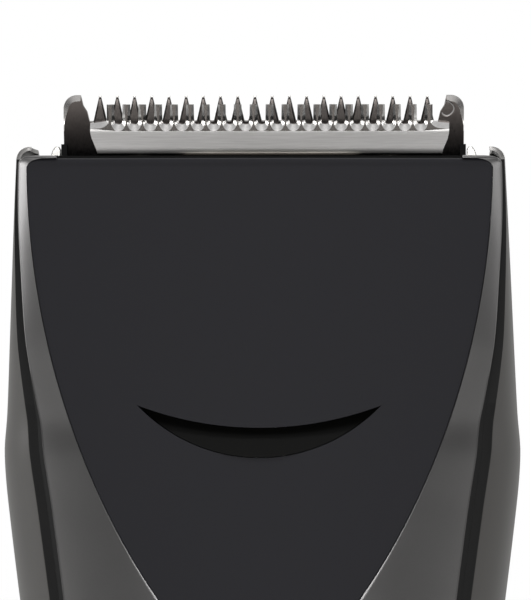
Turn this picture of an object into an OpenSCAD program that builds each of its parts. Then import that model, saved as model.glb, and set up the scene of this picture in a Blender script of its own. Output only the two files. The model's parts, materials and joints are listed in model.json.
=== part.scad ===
// Hair clipper, standing on its base, blades up, front towards -Y.
// All sizes are in millimetres. The origin is the middle of the foot's underside.

/* [Body] */
// Height of the front panel's top edge
body_h = 169.5; // [168:0.5:171]
// Wall thickness of the front and rear shells
wall = 1.7; // [1.5:0.1:1.8]
// Radius where the sides turn under at the base
base_round = 6; // [5:0.5:7]
// Radius of the rolled lip round the rear shell's top
lip_r = 1.3; // [1.2:0.1:1.5]

/* [Front panel] */
// Half width of the shield-shaped panel at its top
panel_half = 23.5; // [22:0.1:23.6]
// Height of the shield-shaped panel
panel_len = 54; // [50:0.5:56]
// Thickness of the shield-shaped panel
panel_t = 1.15; // [1:0.05:1.2]
// Tip-to-tip width of the crescent recess
crescent_w = 24.6; // [20:0.2:27]

/* [Blades] */
// Height of the fixed comb's tooth tips above the foot
tip_h = 176.4; // [176.2:0.1:176.8]
// Number of teeth on the fixed comb
comb_teeth = 20; // [16:2:20]
// Distance between teeth on the fixed comb
comb_pitch = 1.78; // [1.7:0.01:1.78]
// Number of teeth on the moving cutter
cutter_teeth = 21; // [17:2:21]
// Distance between teeth on the moving cutter
cutter_pitch = 1.644; // [1.55:0.01:1.65]
// Forward lean of the blades
blade_lean = 12; // [10:1:13]
// How far the cutter rests off the middle of its stroke
cutter_offset = 0.63; // [-0.7:0.01:0.7]

/* [Drive] */
// Distance from the lever's pin up to the cutter carrier
lever_up = 30; // [29:0.5:30.5]
// Throw of the eccentric pin
throw = 0.5; // [0.45:0.05:0.6]

/* [Hidden] */
$fn = 48;
big = 200;

// Colours
charcoal = "#2e2d30";
mid_grey = "#5d5b5d";
black = "#151515";
steel = "#b9b7b3";
dark_steel = "#55534f";
copper = "#b06a3a";

// The housing's outline from the base up:
// [height, half width, front depth, rear depth, front corner exponent, rear corner exponent]
STATIONS = [
    [0, 19.0, 14.4, 15.0, 2.5, 2.5],
    [30, 20.0, 15.6, 17.4, 2.4, 2.4],
    [70, 19.4, 15.8, 18.4, 2.3, 2.4],
    [95, 20.8, 15.5, 17.8, 2.3, 2.4],
    [118, 24.1, 15.0, 16.6, 2.35, 2.5],
    [134, 26.1, 14.8, 15.4, 2.5, 2.6],
    [139.5, 26.5, 14.6, 14.8, 2.7, 2.8],
    [143.5, 26.2, 14.4, 14.2, 3.0, 3.0],
    [150, 25.85, 14.0, 13.2, 4.0, 3.4],
    [160, 25.35, 13.2, 11.4, 6.3, 4.5],
    [172, 24.7, 12.2, 9.6, 12, 6]
];
last_station = len(STATIONS) - 1;

function station_below(z, k = 0) =
    k < last_station - 1 && z >= STATIONS[k + 1][0] ? station_below(z, k + 1) : k;
function station_slope(k, c) =
    let (a = max(k - 1, 0), b = min(k + 1, last_station))
    (STATIONS[b][c] - STATIONS[a][c]) / (STATIONS[b][0] - STATIONS[a][0]);
// Smooth value of outline column c at height z
function outline(z, c) =
    let (k = station_below(z), h = STATIONS[k + 1][0] - STATIONS[k][0], t = (z - STATIONS[k][0]) / h)
    (1 + 2 * t) * pow(1 - t, 2) * STATIONS[k][c] + t * t * (3 - 2 * t) * STATIONS[k + 1][c]
    + h * t * pow(1 - t, 2) * station_slope(k, c) - h * t * t * (1 - t) * station_slope(k + 1, c);
function base_inset(z) = z < base_round ? base_round - sqrt(pow(base_round, 2) - pow(base_round - z, 2)) : 0;
function half_width(z, inset = 0) = outline(z, 1) - inset - base_inset(z);
function front_depth(z, inset = 0) = outline(z, 2) - inset - base_inset(z);
function rear_depth(z, inset = 0) = outline(z, 3) - inset - base_inset(z);
function front_exp(z) = outline(z, 4);
function rear_exp(z) = outline(z, 5);
function smooth(t) = let (u = min(max(t, 0), 1)) u * u * (3 - 2 * u);

// Half width of the front half's section at depth y, and its depth at half width x
function front_x(y, z, inset = 0) =
    half_width(z, inset) * pow(max(1 - pow(-y / front_depth(z, inset), front_exp(z)), 0), 1 / front_exp(z));
function front_y(x, z, inset = 0) =
    let (rest = 1 - pow(abs(x) / half_width(z, inset), front_exp(z)))
    -front_depth(z, inset) * pow(max(rest, 0), 1 / front_exp(z));

// The seam between the shells is a straight groove along each side, which guides a sliding comb.
groove_front = -10.4;
groove_back = -9.2;
rail_gap = 0.05;
shell_bottom = 10;
side_top = body_h - 0.05;
rear_top = 157.4;
// Beside the panel the front shell stands a little higher than the panel
shell_top = body_h + 0.3;

// Half width of the front panel at height z, with a top corner rounded to a quarter of an ellipse
panel_corner = [1.8, 1];
rim_gap_half = 20.45;
shell_corner = [0.9, 0.9];
function corner_inset(z, r, top) =
    let (d = (z - top) / r[1] + 1) d > 0 ? r[0] * (1 - sqrt(max(1 - d * d, 0))) : 0;
function panel_x(z) =
    let (share = pow(max(1 - pow((body_h - z) / panel_len, 2), 0), 0.75))
    panel_half * share - corner_inset(z, panel_corner, body_h);
// Depth of the front panel's face: flatter than the shell round it, and flush with it at the panel's edge
panel_crown = 0.052;
function panel_y(x, z) =
    let (e = max(panel_x(z), 0.01)) front_y(e, z) - panel_crown * e * (1 - pow(x / e, 2));

function flat(rows) = [for (row = rows) for (p = row) p];

// A closed solid between two grids of points, given as rows of columns
module grid_solid(outer, inner) {
    rows = len(outer);
    cols = len(outer[0]);
    n = rows * cols;
    function quad(a, b, c, d) = [[a, b, c], [a, c, d]];
    faces = concat(
        [for (j = [0:rows - 2], i = [0:cols - 2])
            let (a = j * cols + i) each quad(a, a + cols, a + cols + 1, a + 1)],
        [for (j = [0:rows - 2], i = [0:cols - 2])
            let (a = n + j * cols + i) each quad(a, a + 1, a + cols + 1, a + cols)],
        [for (i = [0:cols - 2]) each quad(i, i + 1, n + i + 1, n + i)],
        [for (i = [0:cols - 2]) let (a = (rows - 1) * cols + i) each quad(a, n + a, n + a + 1, a + 1)],
        [for (j = [0:rows - 2]) let (a = j * cols) each quad(a, n + a, n + a + cols, a + cols)],
        [for (j = [0:rows - 2]) let (a = j * cols + cols - 1) each quad(a, a + cols, n + a + cols, n + a)]
    );
    polyhedron(concat(flat(outer), flat(inner)), faces, convexity = 8);
}

// A closed solid through rings of points, one ring above another
module ring_solid(rings) {
    rows = len(rings);
    cols = len(rings[0]);
    sides = [for (j = [0:rows - 2], i = [0:cols - 1])
        let (a = j * cols, b = (i + 1) % cols)
        each [[a + i, a + cols + b, a + cols + i], [a + i, a + b, a + cols + b]]];
    bottom = [for (i = [cols - 1:-1:0]) i];
    top = [for (i = [0:cols - 1]) (rows - 1) * cols + i];
    polyhedron(flat(rings), concat(sides, [bottom], [top]), convexity = 8);
}

// The children, joined and cut as one mesh
module one_mesh() resize([0, 0, 0]) children();

// Whole section of the housing at height z, clockwise from above
section_steps = 28;
function section(z, inset = 0) =
    [for (i = [0:2 * section_steps - 1])
        let (a = -180 * i / section_steps,
             front = sin(a) < 0,
             e = 2 / (front ? front_exp(z) : rear_exp(z)),
             d = front ? front_depth(z, inset) : rear_depth(z, inset),
             x = half_width(z, inset) * sign(cos(a)) * pow(abs(cos(a)), e))
        [x, d * sign(sin(a)) * pow(abs(sin(a)), e), z]];
module skin(z0, z1, inset, rows = 24)
    ring_solid([for (j = [0:rows]) section(z0 + (z1 - z0) * j / rows, inset)]);

// Rows of heights for the shells, closer together where the outline turns faster
shell_rows = concat([for (j = [0:14]) shell_bottom + 8 * j], [for (j = [0:13]) 126 + 3 * j]);

// ---------------------------------------------------------------- front shell
front_steps = 9;
front_top_rows = [for (d = [3.2, 1.7, 0.8, 0.4, 0.12, 0]) shell_top - d];
// Columns from left to right, closer together towards the edges where the section turns
function front_row(z, inset) =
    let (corner = inset > 0 ? 0 : corner_inset(z, shell_corner, shell_top),
         edge = front_x(groove_front, z, inset) - corner)
    [for (i = [-front_steps:front_steps])
        let (x = edge * sin(90 * i / front_steps))
        [x, abs(i) == front_steps ? groove_front : min(front_y(x, z, inset), groove_front), z]];
front_rows = concat([for (z = shell_rows) if (z < shell_top - 3.6) z], front_top_rows);

// The shield-shaped panel's grid, rows from the top down, closer together towards the rounded tip
panel_rows = 28;
panel_cols = 8;
panel_top = [0.002, 0.03, 0.12, 0.3, 0.6, 1, 1.5];
function panel_z(j) =
    let (k = len(panel_top), turn = sin(90 * (j - k) / (panel_rows - k)))
    body_h - (j < k ? panel_top[j] : 2.1 + (panel_len * 0.999 - 2.1) * turn);
function panel_grid(grow, y_off) =
    [for (j = [panel_rows:-1:0])
        let (z = panel_z(j), e = panel_x(z))
        [for (i = [-panel_cols:panel_cols])
            let (s = i / panel_cols, lift = (j == 0 ? grow : 0) - (j == panel_rows ? grow : 0))
            [s * (e + grow), panel_y(s * e, z) + y_off, z + lift]]];

crescent_z = 144.6;
crescent_up = 2.25;
crescent_down = 5.3;
function arc_r(w, sag) = (w * w / 4 + sag * sag) / (2 * sag);
// Outline between a shallow upper arc and a deep lower one that meet at two tips
module crescent(grow = 0) {
    r_up = arc_r(crescent_w, crescent_up);
    r_down = arc_r(crescent_w, crescent_down);
    difference() {
        translate([0, r_down - crescent_down]) circle(r_down + grow, $fn = 96);
        translate([0, r_up - crescent_up]) circle(r_up - grow, $fn = 128);
        translate([-big / 2, 0]) square(big);
    }
}
module crescent_prism(y0, y1, grow = 0)
    translate([0, y1, crescent_z]) rotate([90, 0, 0]) linear_extrude(y1 - y0) crescent(grow);

slider_z = 90;
slider_travel = 4;
slider_half = [5.5, 8];
pocket_floor = -14.5;
led_z = 110;
posts = [[-13.8, 122], [13.8, 122], [-9.6, 16.5], [9.6, 16.5]];
post_end = 7.3;

module along_y(x, z, y0, y1, r) translate([x, y1, z]) rotate([90, 0, 0]) cylinder(r = r, h = y1 - y0);

module front_shell() color(mid_grey) one_mesh() difference() {
    union() {
        grid_solid([for (z = front_rows) front_row(z, 0)], [for (z = front_rows) front_row(z, wall)]);
        intersection() {
            for (p = posts) along_y(p[0], p[1], -big / 4, post_end, 2.6);
            skin(shell_bottom, 130, 0.4, 16);
        }
        translate([-8, -14.6, slider_z - 11]) cube([16, 0.85, 26]);
    }
    // Seat of the shield-shaped panel
    grid_solid(panel_grid(0.06, -4), panel_grid(0.06, panel_t + 0.05));
    translate([-rim_gap_half, -big / 4, body_h]) cube([2 * rim_gap_half, big / 4 - 9, 2]);
    crescent_prism(-big / 4, -9);
    // Pocket and slot of the power slider
    translate([-6, -big / 4, slider_z - 8.7]) cube([12, big / 4 + pocket_floor, 17.4 + slider_travel]);
    translate([-1.8, -20, slider_z - 2.6]) cube([3.6, 12, 5.2 + slider_travel]);
    along_y(0, led_z, -20, -8, 1.2);
    for (p = posts) along_y(p[0], p[1], -6, 20, 1.5);
}

module front_panel() color(charcoal) one_mesh() difference() {
    grid_solid(panel_grid(0, 0), panel_grid(0, panel_t));
    crescent_prism(-big / 4, -5);
}

// Glossy piece behind the crescent cut, sloping out to the panel's face at its lower edge
module crescent_insert() color(black) difference() {
    crescent_prism(-13.9, -10.6, -0.08);
    translate([-20, -13.75, crescent_z - 5.4]) rotate([-26, 0, 0]) translate([0, -10, -2]) cube([40, 10, 12]);
}

// ---------------------------------------------------------------- rear shell
rear_side_cols = 5;
rear_cols = 11;
// Signed column number to [side, depth share]: side columns run from the groove to the widest point
function rear_point(i, z, inset) =
    let (s = sign(i), k = abs(i), from_rear = rear_cols + rear_side_cols - k)
    k > rear_cols
        ? let (y = groove_back * pow((k - rear_cols) / rear_side_cols, 0.8)) [s * front_x(y, z, inset), y]
        : let (a = 90 * k / rear_cols, e = 2 / rear_exp(z))
          [s * half_width(z, inset) * pow(sin(a), e), rear_depth(z, inset) * pow(cos(a), e)];
// Height where each column's lip begins: high at the sides, scooped down at the rear
function column_top(i) =
    let (k = abs(i)) k > rear_cols ? side_top : rear_top + (side_top - rear_top) * smooth((k - 5.5) / 4.5);
function rear_wall(z) = wall - 1.1 * smooth((z - 160) / 6);
rear_rows = 26;
lip_rows = 4;
rear_span = rear_cols + rear_side_cols;
function rear_height(i, j) =
    let (t = j / rear_rows) shell_bottom + (column_top(i) - shell_bottom) * (1 - pow(1 - t, 1.25));
function lip_point(i, a, r) =
    let (z = column_top(i), p = rear_point(i, z, lip_r - r * cos(a)))
    [p[0], abs(i) == rear_span ? groove_back : p[1], z + r * sin(a)];
function lip_inner(i) = lip_r - rear_wall(column_top(i)) * 0.999;
function rear_grid(inner) =
    concat(
        [for (j = [0:rear_rows])
            [for (i = [-rear_span:rear_span])
                let (z = rear_height(i, j), p = rear_point(i, z, inner ? rear_wall(z) : 0))
                [p[0], p[1], z]]],
        [for (j = [1:lip_rows])
            [for (i = [-rear_span:rear_span])
                lip_point(i, 90 * j / lip_rows, inner ? lip_inner(i) : lip_r)]]);

hinge_y = 9.7;
hinge_z = 160.3;
lug_x = 15.4;
module rear_shell() color(mid_grey) one_mesh() difference() {
    union() {
        grid_solid(rear_grid(true), rear_grid(false));
        intersection() {
            for (p = posts) along_y(p[0], p[1], 7.5, big / 4, 3.8);
            skin(shell_bottom, 130, 0.3, 16);
        }
        // Lugs that hold the cutting head's hinge pin
        for (s = [-1, 1]) translate([s * (lug_x + 1), 0, 0]) {
            translate([-1, hinge_y - 1.1, 155.1]) cube([2, 2.2, hinge_z - 155.1]);
            rotate([0, 90, 0]) translate([-hinge_z, hinge_y, -1]) cylinder(r = 1.1, h = 2);
        }
    }
    for (p = posts) {
        along_y(p[0], p[1], 0, 30, 1.6);
        along_y(p[0], p[1], 9, 30, 2.7);
    }
    translate([-20, hinge_y, hinge_z]) rotate([0, 90, 0]) cylinder(r = 0.62, h = 40);
    for (s = [-1, 1]) grip_block(s, 3, grip_sink + 0.06, 0.15);
}

rail_deep = 0.8;
rail_shallow = 0.12;
function rail_recess(z) =
    rail_shallow + (rail_deep - rail_shallow) * smooth((z - 106) / 8) + (z > 160 ? 0.05 : 0);
function rail_row(s, z, extra) =
    [for (y = [groove_front + rail_gap, groove_back - rail_gap])
        [s * (front_x(y, z) - rail_recess(z) - extra), y, z]];
module comb_rail(s) color(black) {
    rows = [for (j = [0:22]) shell_bottom + 0.3 + (body_h - 0.9 - shell_bottom) * j / 22];
    outer = [for (z = rows) rail_row(s, z, 0)];
    inner = [for (z = rows) rail_row(s, z, 1.3)];
    if (s > 0) grid_solid(outer, inner);
    else grid_solid(inner, outer);
}

// Soft pad on the side of the handle, let into the rear shell
grip_rows = 24;
grip_cols = 8;
grip_z0 = 26;
grip_z1 = 124;
grip_sink = 0.7;
function grip_point(s, i, j, out, grow) =
    let (t = (1 - cos(180 * j / grip_rows)) / 2,
         z = grip_z0 - grow + (grip_z1 - grip_z0 + 2 * grow) * t,
         a = 8 + (2 * i / grip_cols - 1) * (3 + 42 * sqrt(max(1 - pow(abs(2 * t - 1), 4), 0)) + 2 * grow),
         e = 2 / (a > 0 ? rear_exp(z) : front_exp(z)),
         x = half_width(z) * pow(cos(a), e),
         y = a > 0 ? rear_depth(z) * pow(sin(a), e) : -front_depth(z) * pow(sin(-a), e))
    [s * (x + out * cos(a)), max(y + out * sin(a), groove_back + 0.5), z];
// The outer face swells a little above the shell; its border lies flush
function grip_face(s, swell, grow) =
    [for (j = [0:grip_rows]) [for (i = [0:grip_cols])
        grip_point(s, i, j, i == 0 || i == grip_cols || j == 0 || j == grip_rows ? 0.02 : swell, grow)]];
module grip_block(s, swell, sink, grow) {
    outer = grip_face(s, swell, grow);
    inner = [for (j = [0:grip_rows]) [for (i = [0:grip_cols]) grip_point(s, i, j, -sink, grow)]];
    if (s > 0) grid_solid(outer, inner);
    else grid_solid(inner, outer);
}
module grip(s) color(black) grip_block(s, 0.5, grip_sink, 0);

// ---------------------------------------------------------------- base
foot_t = 1.4;
socket_r = 4.6;
module stadium(half_x, r) {
    translate([-half_x, -r]) square([2 * half_x, 2 * r]);
    for (s = [-1, 1]) translate([s * half_x, 0]) circle(r);
}
module base_cap() color(charcoal) one_mesh() difference() {
    skin(0.8, shell_bottom - 0.1, 0, 8);
    skin(3.2, shell_bottom + 1, 2, 5);
    translate([0, 0, -1]) linear_extrude(foot_t + 1.05) stadium(5.6, 9.6);
    translate([0, 0, -1]) cylinder(r = socket_r + 0.05, h = 20);
}
module base_foot() color(black) difference() {
    linear_extrude(foot_t) stadium(5.5, 9.5);
    translate([0, 0, -1]) cylinder(r = 5.2, h = 4);
}
socket_bore_r = 2.75;
socket_mouth = 1.6;
module charge_socket() color(black) difference() {
    union() {
        translate([0, 0, socket_mouth]) cylinder(r = socket_r, h = 11);
        translate([0, 0, 3.3]) cylinder(r = 7, h = 1.4);
    }
    translate([0, 0, socket_mouth - 1]) cylinder(r = socket_bore_r, h = 6);
    translate([0, 0, socket_mouth + 4.9]) cylinder(r = 2.2, h = 4);
    cylinder(r = 0.7, h = 20);
    translate([3.4, 0, 9]) cylinder(r = 0.55, h = 10);
}
module socket_contacts() color(steel) {
    translate([0, 0, 8]) cylinder(r = 0.65, h = 7);
    translate([3.4, 0, 9.1]) cylinder(r = 0.5, h = 6);
}

screw_seat = 9;
module case_screws() color(steel) for (p = posts) difference() {
    union() {
        along_y(p[0], p[1], screw_seat + 0.02, screw_seat + 1.7, 2.4);
        along_y(p[0], p[1], -5, screw_seat + 0.1, 1.4);
    }
    for (a = [0, 90]) translate([p[0], screw_seat + 2, p[1]]) rotate([0, a, 0])
        cube([0.6, 2.2, 2.8], center = true);
}

// ---------------------------------------------------------------- power slider and electronics
module power_slider() color(black) {
    difference() {
        translate([-slider_half[0], -16.5, slider_z - slider_half[1]])
            cube([2 * slider_half[0], 16.5 + pocket_floor - 0.06, 2 * slider_half[1]]);
        for (k = [-3:3]) translate([-4.5, -16.9, slider_z + k * 2 - 0.35]) cube([9, 0.8, 0.7]);
    }
    difference() {
        translate([-1.5, pocket_floor - 0.5, slider_z - 2]) cube([3, 1.3, 4]);
        translate([-0.75, pocket_floor, slider_z - 0.8]) cube([1.5, 2, 1.6]);
    }
}
module switch_knob() color(black) translate([-0.7, -14.4, slider_z - 0.75]) cube([1.4, 2.5, 1.5]);
module switch_body() color("#303030") difference() {
    translate([-4.5, -12.9, slider_z - 4]) cube([9, 1.65, 12]);
    translate([-0.9, -13.5, slider_z - 1]) cube([1.8, 1.75, 2 + slider_travel]);
}
module light_pipe() color("#d8f0d8") along_y(0, led_z, -15.3, -12.5, 1.1);
board_y = -11.2;
module circuit_board() color("#1f5a34") difference() {
    translate([-11.5, board_y, 21]) cube([23, 1.2, 91]);
    for (x = [-9.5, 9.5]) for (z = [23, 76]) along_y(x, z, board_y - 1, board_y + 3, 0.8);
}
module board_components() color("#222222") {
    chip_h = 1.1;
    front = board_y - 0.02;
    // Driver chip, capacitors, charging choke and indicator lamp
    translate([-6, front - chip_h, 60]) cube([7, chip_h, 6]);
    for (z = [44, 49, 54]) translate([3.5, front - 0.9, z]) cube([3, 0.9, 1.8]);
    translate([-1, front - 1.1, led_z - 1]) cube([2, 1.1, 2]);
    translate([-7, board_y + 1.22, 84]) cube([6, 1, 8]);
    translate([2, board_y + 1.22, 94]) cube([8, 1.2, 5]);
}

cell_r = 7.1;
cell_x = 7.4;
cell_y = 5;
cell_z = 25;
cell_h = 48.5;
module battery_cells() color("#3d6fb0") for (s = [-1, 1]) translate([s * cell_x, cell_y, cell_z]) {
    cylinder(r = cell_r, h = cell_h);
    translate([0, 0, cell_h]) cylinder(r = 2.6, h = 1);
}
module battery_straps() color(steel) {
    translate([-cell_x - 3, cell_y - 2.5, cell_z + cell_h + 1.05]) cube([2 * cell_x + 6, 5, 0.25]);
    for (s = [-1, 1]) translate([s * cell_x - 2.5, cell_y - 2.5, cell_z - 0.3]) cube([5, 5, 0.25]);
}
module battery_cradle() color("#3a3a3a") {
    translate([-14, cell_y - 8.6, cell_z - 2.2]) cube([28, 14, 1.8]);
    translate([-14, cell_y - 8.6, cell_z + cell_h + 1.5]) cube([28, 14, 1.8]);
    translate([-14, cell_y - 8.7, cell_z - 2.2]) cube([28, 1.4, cell_h + 5.5]);
}

// ---------------------------------------------------------------- motor and drive
motor_y = 3;
motor_z = 84;
motor_h = 26;
motor_r = 10.5;
can_t = 0.6;
shaft_r = 1;
frame_z = motor_z + motor_h + 2.1;
pin_z = 134;
pin_y0 = -3.6;
pin_y1 = 9.4;
lever_y0 = -1.7;
lever_y1 = 7.3;
pin_r = 1.2;
cam_pin_r = 1.2;
cam_z = 118;
lever_rest = asin(cutter_offset / lever_up);
cam_rest = asin(cutter_offset * (pin_z - cam_z - 2.1) / (lever_up * throw));

module on_motor(z) translate([0, motor_y, z]) children();
module motor_can() color(steel) on_motor(motor_z) difference() {
    union() {
        cylinder(r = motor_r, h = motor_h);
        cylinder(r = 3.1, h = motor_h + 2);
    }
    translate([0, 0, -1]) cylinder(r = motor_r - can_t, h = motor_h + 1 - can_t);
    cylinder(r = shaft_r + 0.06, h = motor_h + 9);
    for (s = [-1, 1]) translate([s * 6.5, 0, motor_h - 2]) cylinder(r = 1.05, h = 4);
}
module motor_end_cap() color("#4a4a4a") on_motor(motor_z - 3.4) difference() {
    union() {
        cylinder(r = motor_r, h = 3.35);
        translate([0, 0, 3.3]) cylinder(r = motor_r - can_t - 0.05, h = 1.2);
    }
    translate([0, 0, 2]) cylinder(r = 6.2, h = 4);
    cylinder(r = shaft_r + 0.06, h = 9);
    for (s = [-1, 1]) translate([s * 7.5 - 0.55, -1.05, -1]) cube([1.1, 2.1, 7]);
}
module motor_magnets() color("#3b3836") on_motor(motor_z + 3) difference() {
    cylinder(r = motor_r - can_t - 0.03, h = 20);
    translate([0, 0, -1]) cylinder(r = 8.6, h = 22);
    translate([-2, -20, -1]) cube([4, 40, 22]);
}
module motor_terminals() color(copper)
    for (s = [-1, 1]) on_motor(motor_z - 5.2) translate([s * 7.5 - 0.5, -1, 0]) cube([1, 2, 6.2]);
module motor_shaft() color(steel) on_motor(motor_z - 3) cylinder(r = shaft_r, h = 36.5);
module motor_armature() color(copper) on_motor(motor_z + 4.4) difference() {
    cylinder(r = 8.2, h = 17);
    for (a = [0:120:359]) rotate(a) translate([3.4, -0.7, -1]) cube([8, 1.4, 20]);
    translate([0, 0, -1]) cylinder(r = shaft_r + 0.01, h = 20);
}
module commutator() color(copper) on_motor(motor_z + 0.6) difference() {
    cylinder(r = 2.6, h = 3.6);
    translate([0, 0, -1]) cylinder(r = shaft_r + 0.01, h = 8);
}
module motor_screws() color(steel) for (s = [-1, 1]) on_motor(0) translate([s * 6.5, 0, 0]) {
    translate([0, 0, frame_z + 2.42]) cylinder(r = 1.7, h = 1);
    translate([0, 0, frame_z - 2.9]) cylinder(r = 0.95, h = 5.4);
}
module drive_frame() color("#34363a") difference() {
    union() {
        translate([-15, motor_y - 11, frame_z]) cube([30, 18.6, 2.4]);
        for (y = [pin_y0 + 0.2, lever_y1 + 0.2]) translate([0, y, 0]) {
            translate([-4.2, 0, frame_z]) cube([8.4, 1.6, pin_z - frame_z]);
            translate([0, 1.6, pin_z]) rotate([90, 0, 0]) cylinder(r = 4.2, h = 1.6);
        }
        for (s = [-1, 1]) translate([s * 13.8 - 1.2, motor_y - 11, frame_z - 14]) cube([2.4, 17, 14.1]);
    }
    on_motor(frame_z - 1) cylinder(r = 3.2, h = 5);
    for (s = [-1, 1]) on_motor(frame_z - 1) translate([s * 6.5, 0, 0]) cylinder(r = 1.05, h = 5);
    along_y(0, pin_z, -20, 20, pin_r + 0.01);
}
module lever_pin() color(steel) along_y(0, pin_z, pin_y0, pin_y1, pin_r);
module eccentric_cam() color("#8f8f8f") on_motor(cam_z) difference() {
    union() {
        translate([0, 0, -2.8]) cylinder(r = 3.2, h = 2.8);
        rotate(cam_rest) translate([0, throw, -1]) cylinder(r = cam_pin_r, h = 5.2);
    }
    translate([0, 0, -4]) cylinder(r = shaft_r + 0.01, h = 3.6);
}
// Rocking lever: a fork round the eccentric pin below, a drive tip between the carrier's lugs above
module in_lever() translate([0, 0, pin_z]) rotate([0, lever_rest, 0]) translate([0, 0, -pin_z]) children();
module drive_lever() color("#d9d6cc") in_lever() difference() {
    union() {
        along_y(0, pin_z, lever_y0, lever_y1, 3.4);
        for (s = [-1, 1]) translate([s * 3.45 - 0.95, motor_y - 2.4, cam_z + 0.3]) cube([1.9, 4.8, 11.8]);
        translate([-4.4, motor_y - 2.4, cam_z + 6]) cube([8.8, 4.8, 10]);
        translate([-2.2, 0.2, pin_z]) cube([4.4, 4.4, 22]);
        translate([-1.5, 0.8, pin_z + 21]) cube([3, 2.4, lever_up - 19.6]);
    }
    along_y(0, pin_z, -20, 20, 2);
    translate([-2.5, -5, cam_z - 1]) cube([5, 14, 7]);
}
module lever_bush() color("#c9a24b") in_lever() difference() {
    along_y(0, pin_z, lever_y0, lever_y1, 1.97);
    along_y(0, pin_z, -20, 20, pin_r + 0.04);
}
// Two insulated leads from the board to the motor's terminals
lead_r = 0.6;
module lead(points) for (k = [0:len(points) - 2]) {
    a = points[k];
    b = points[k + 1];
    v = b - a;
    translate(a) {
        sphere(r = lead_r + 0.08);
        rotate([0, acos(v[2] / norm(v)), atan2(v[1], v[0])]) cylinder(r = lead_r, h = norm(v));
    }
}
module motor_leads() color("#a03028") for (s = [-1, 1])
    lead([[s * 7.5, motor_y, motor_z - 5.95], [s * 9.5, motor_y - 7, motor_z - 6.2],
        [s * 9.5, board_y + 1.95, motor_z - 2]]);

// Plate that closes the housing under the cutting head, with a slot for the lever
module seat_plate() color(black) one_mesh() difference() {
    skin(153.4, 154.9, 2.8, 2);
    translate([-4.6, -1.4, 150]) cube([9.2, 7.4, 8]);
}
module hinge_pin() color(steel)
    translate([-lug_x - 1.9, hinge_y, hinge_z]) rotate([0, 90, 0]) cylinder(r = 0.6, h = 2 * lug_x + 3.8);

// ---------------------------------------------------------------- cutting head
blade_y = 6.3;
blade_z = 162;
comb_t = 0.7;
cutter_t = 0.7;
blade_gap = 0.03;
tip_t = (tip_h - blade_z) / cos(blade_lean);
root_t = tip_t - 2.76;
ear_half = 20.7;
// Blade frame: local X across, local Y up the blade, local Z out of its front face
module on_blade(n = 0) translate([0, blade_y, blade_z]) rotate([blade_lean, 0, 0]) rotate([90, 0, 0])
    translate([0, 0, n]) children();

// Comb outline: tapered teeth between two round-shouldered ears, joined below the root line
tooth_side = [[0.08, 2.76], [0.16, 2.55], [0.69, 0.15]];
ear_r = 1.35;
ear_side = concat([[18.0, 0], [18.25, 1.06], [18.65, 1.71], [18.9, 2.76]],
    [for (a = [90:-10:0]) [ear_half - ear_r + ear_r * cos(a), 2.76 - ear_r + ear_r * sin(a)]],
    [[ear_half - 0.2, -0.5], [ear_half - 0.2, 0.4 - root_t]]);
function mirrored(points) = [for (k = [len(points) - 1:-1:0]) [-points[k][0], points[k][1]]];
function comb_points() = concat(mirrored(ear_side),
    [for (k = [0:comb_teeth - 1]) for (p = concat(mirrored(tooth_side), tooth_side))
        [p[0] + (k - (comb_teeth - 1) / 2) * comb_pitch, p[1]]],
    ear_side);
module fixed_comb() color(dark_steel) on_blade() linear_extrude(comb_t) difference() {
    translate([0, root_t]) polygon(comb_points());
    for (s = [-1, 1]) translate([s * 13, 2.2]) circle(1.05);
}

cutter_tip = tip_t - 0.77;
cutter_root = cutter_tip - 1.75;
bar_half = 18.55;
bar_low = 4.4;
module cutter_gap() {
    translate([0, cutter_root]) circle(0.45);
    polygon([[-0.45, cutter_root], [-0.47, cutter_tip + 1], [0.47, cutter_tip + 1], [0.45, cutter_root]]);
}
module cutter_outline() difference() {
    polygon([[-bar_half + 0.75, bar_low], [-bar_half + 0.75, 8.6], [-bar_half + 0.1, 10.2], [-bar_half, 10.8],
        [-bar_half, 11.9], [-17.3, 11.9], [-16.84, 12.4], [-16.8, cutter_tip],
        [16.8, cutter_tip], [16.84, 12.4], [17.3, 11.9], [bar_half, 11.9],
        [bar_half, 10.8], [bar_half - 0.1, 10.2], [bar_half - 0.75, 8.6], [bar_half - 0.75, bar_low]]);
    for (k = [0:cutter_teeth - 2]) translate([(k - (cutter_teeth - 2) / 2) * cutter_pitch, 0]) cutter_gap();
}
module moving_cutter() color(steel) translate([cutter_offset, 0, 0])
    on_blade(comb_t + blade_gap) linear_extrude(cutter_t) cutter_outline();

carrier_n = comb_t + blade_gap + cutter_t + 0.02;
module cutter_carrier() color("#e4e1d8") translate([cutter_offset, 0, 0]) on_blade(carrier_n) {
    difference() {
        union() {
            translate([-9, 3.6, 0]) cube([18, 3.1, 2.1]);
            translate([-4, -1.1, 0]) cube([8, 5.2, 4.4]);
        }
        translate([-1.67, -2, 0.7]) cube([3.34, 6.6, 6]);
    }
}

side_in = 20.95;
side_out = 22.1;
deck_z = body_h - 1.6;
deck_top = body_h + 0.3;
head_front = -10.05;
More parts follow.
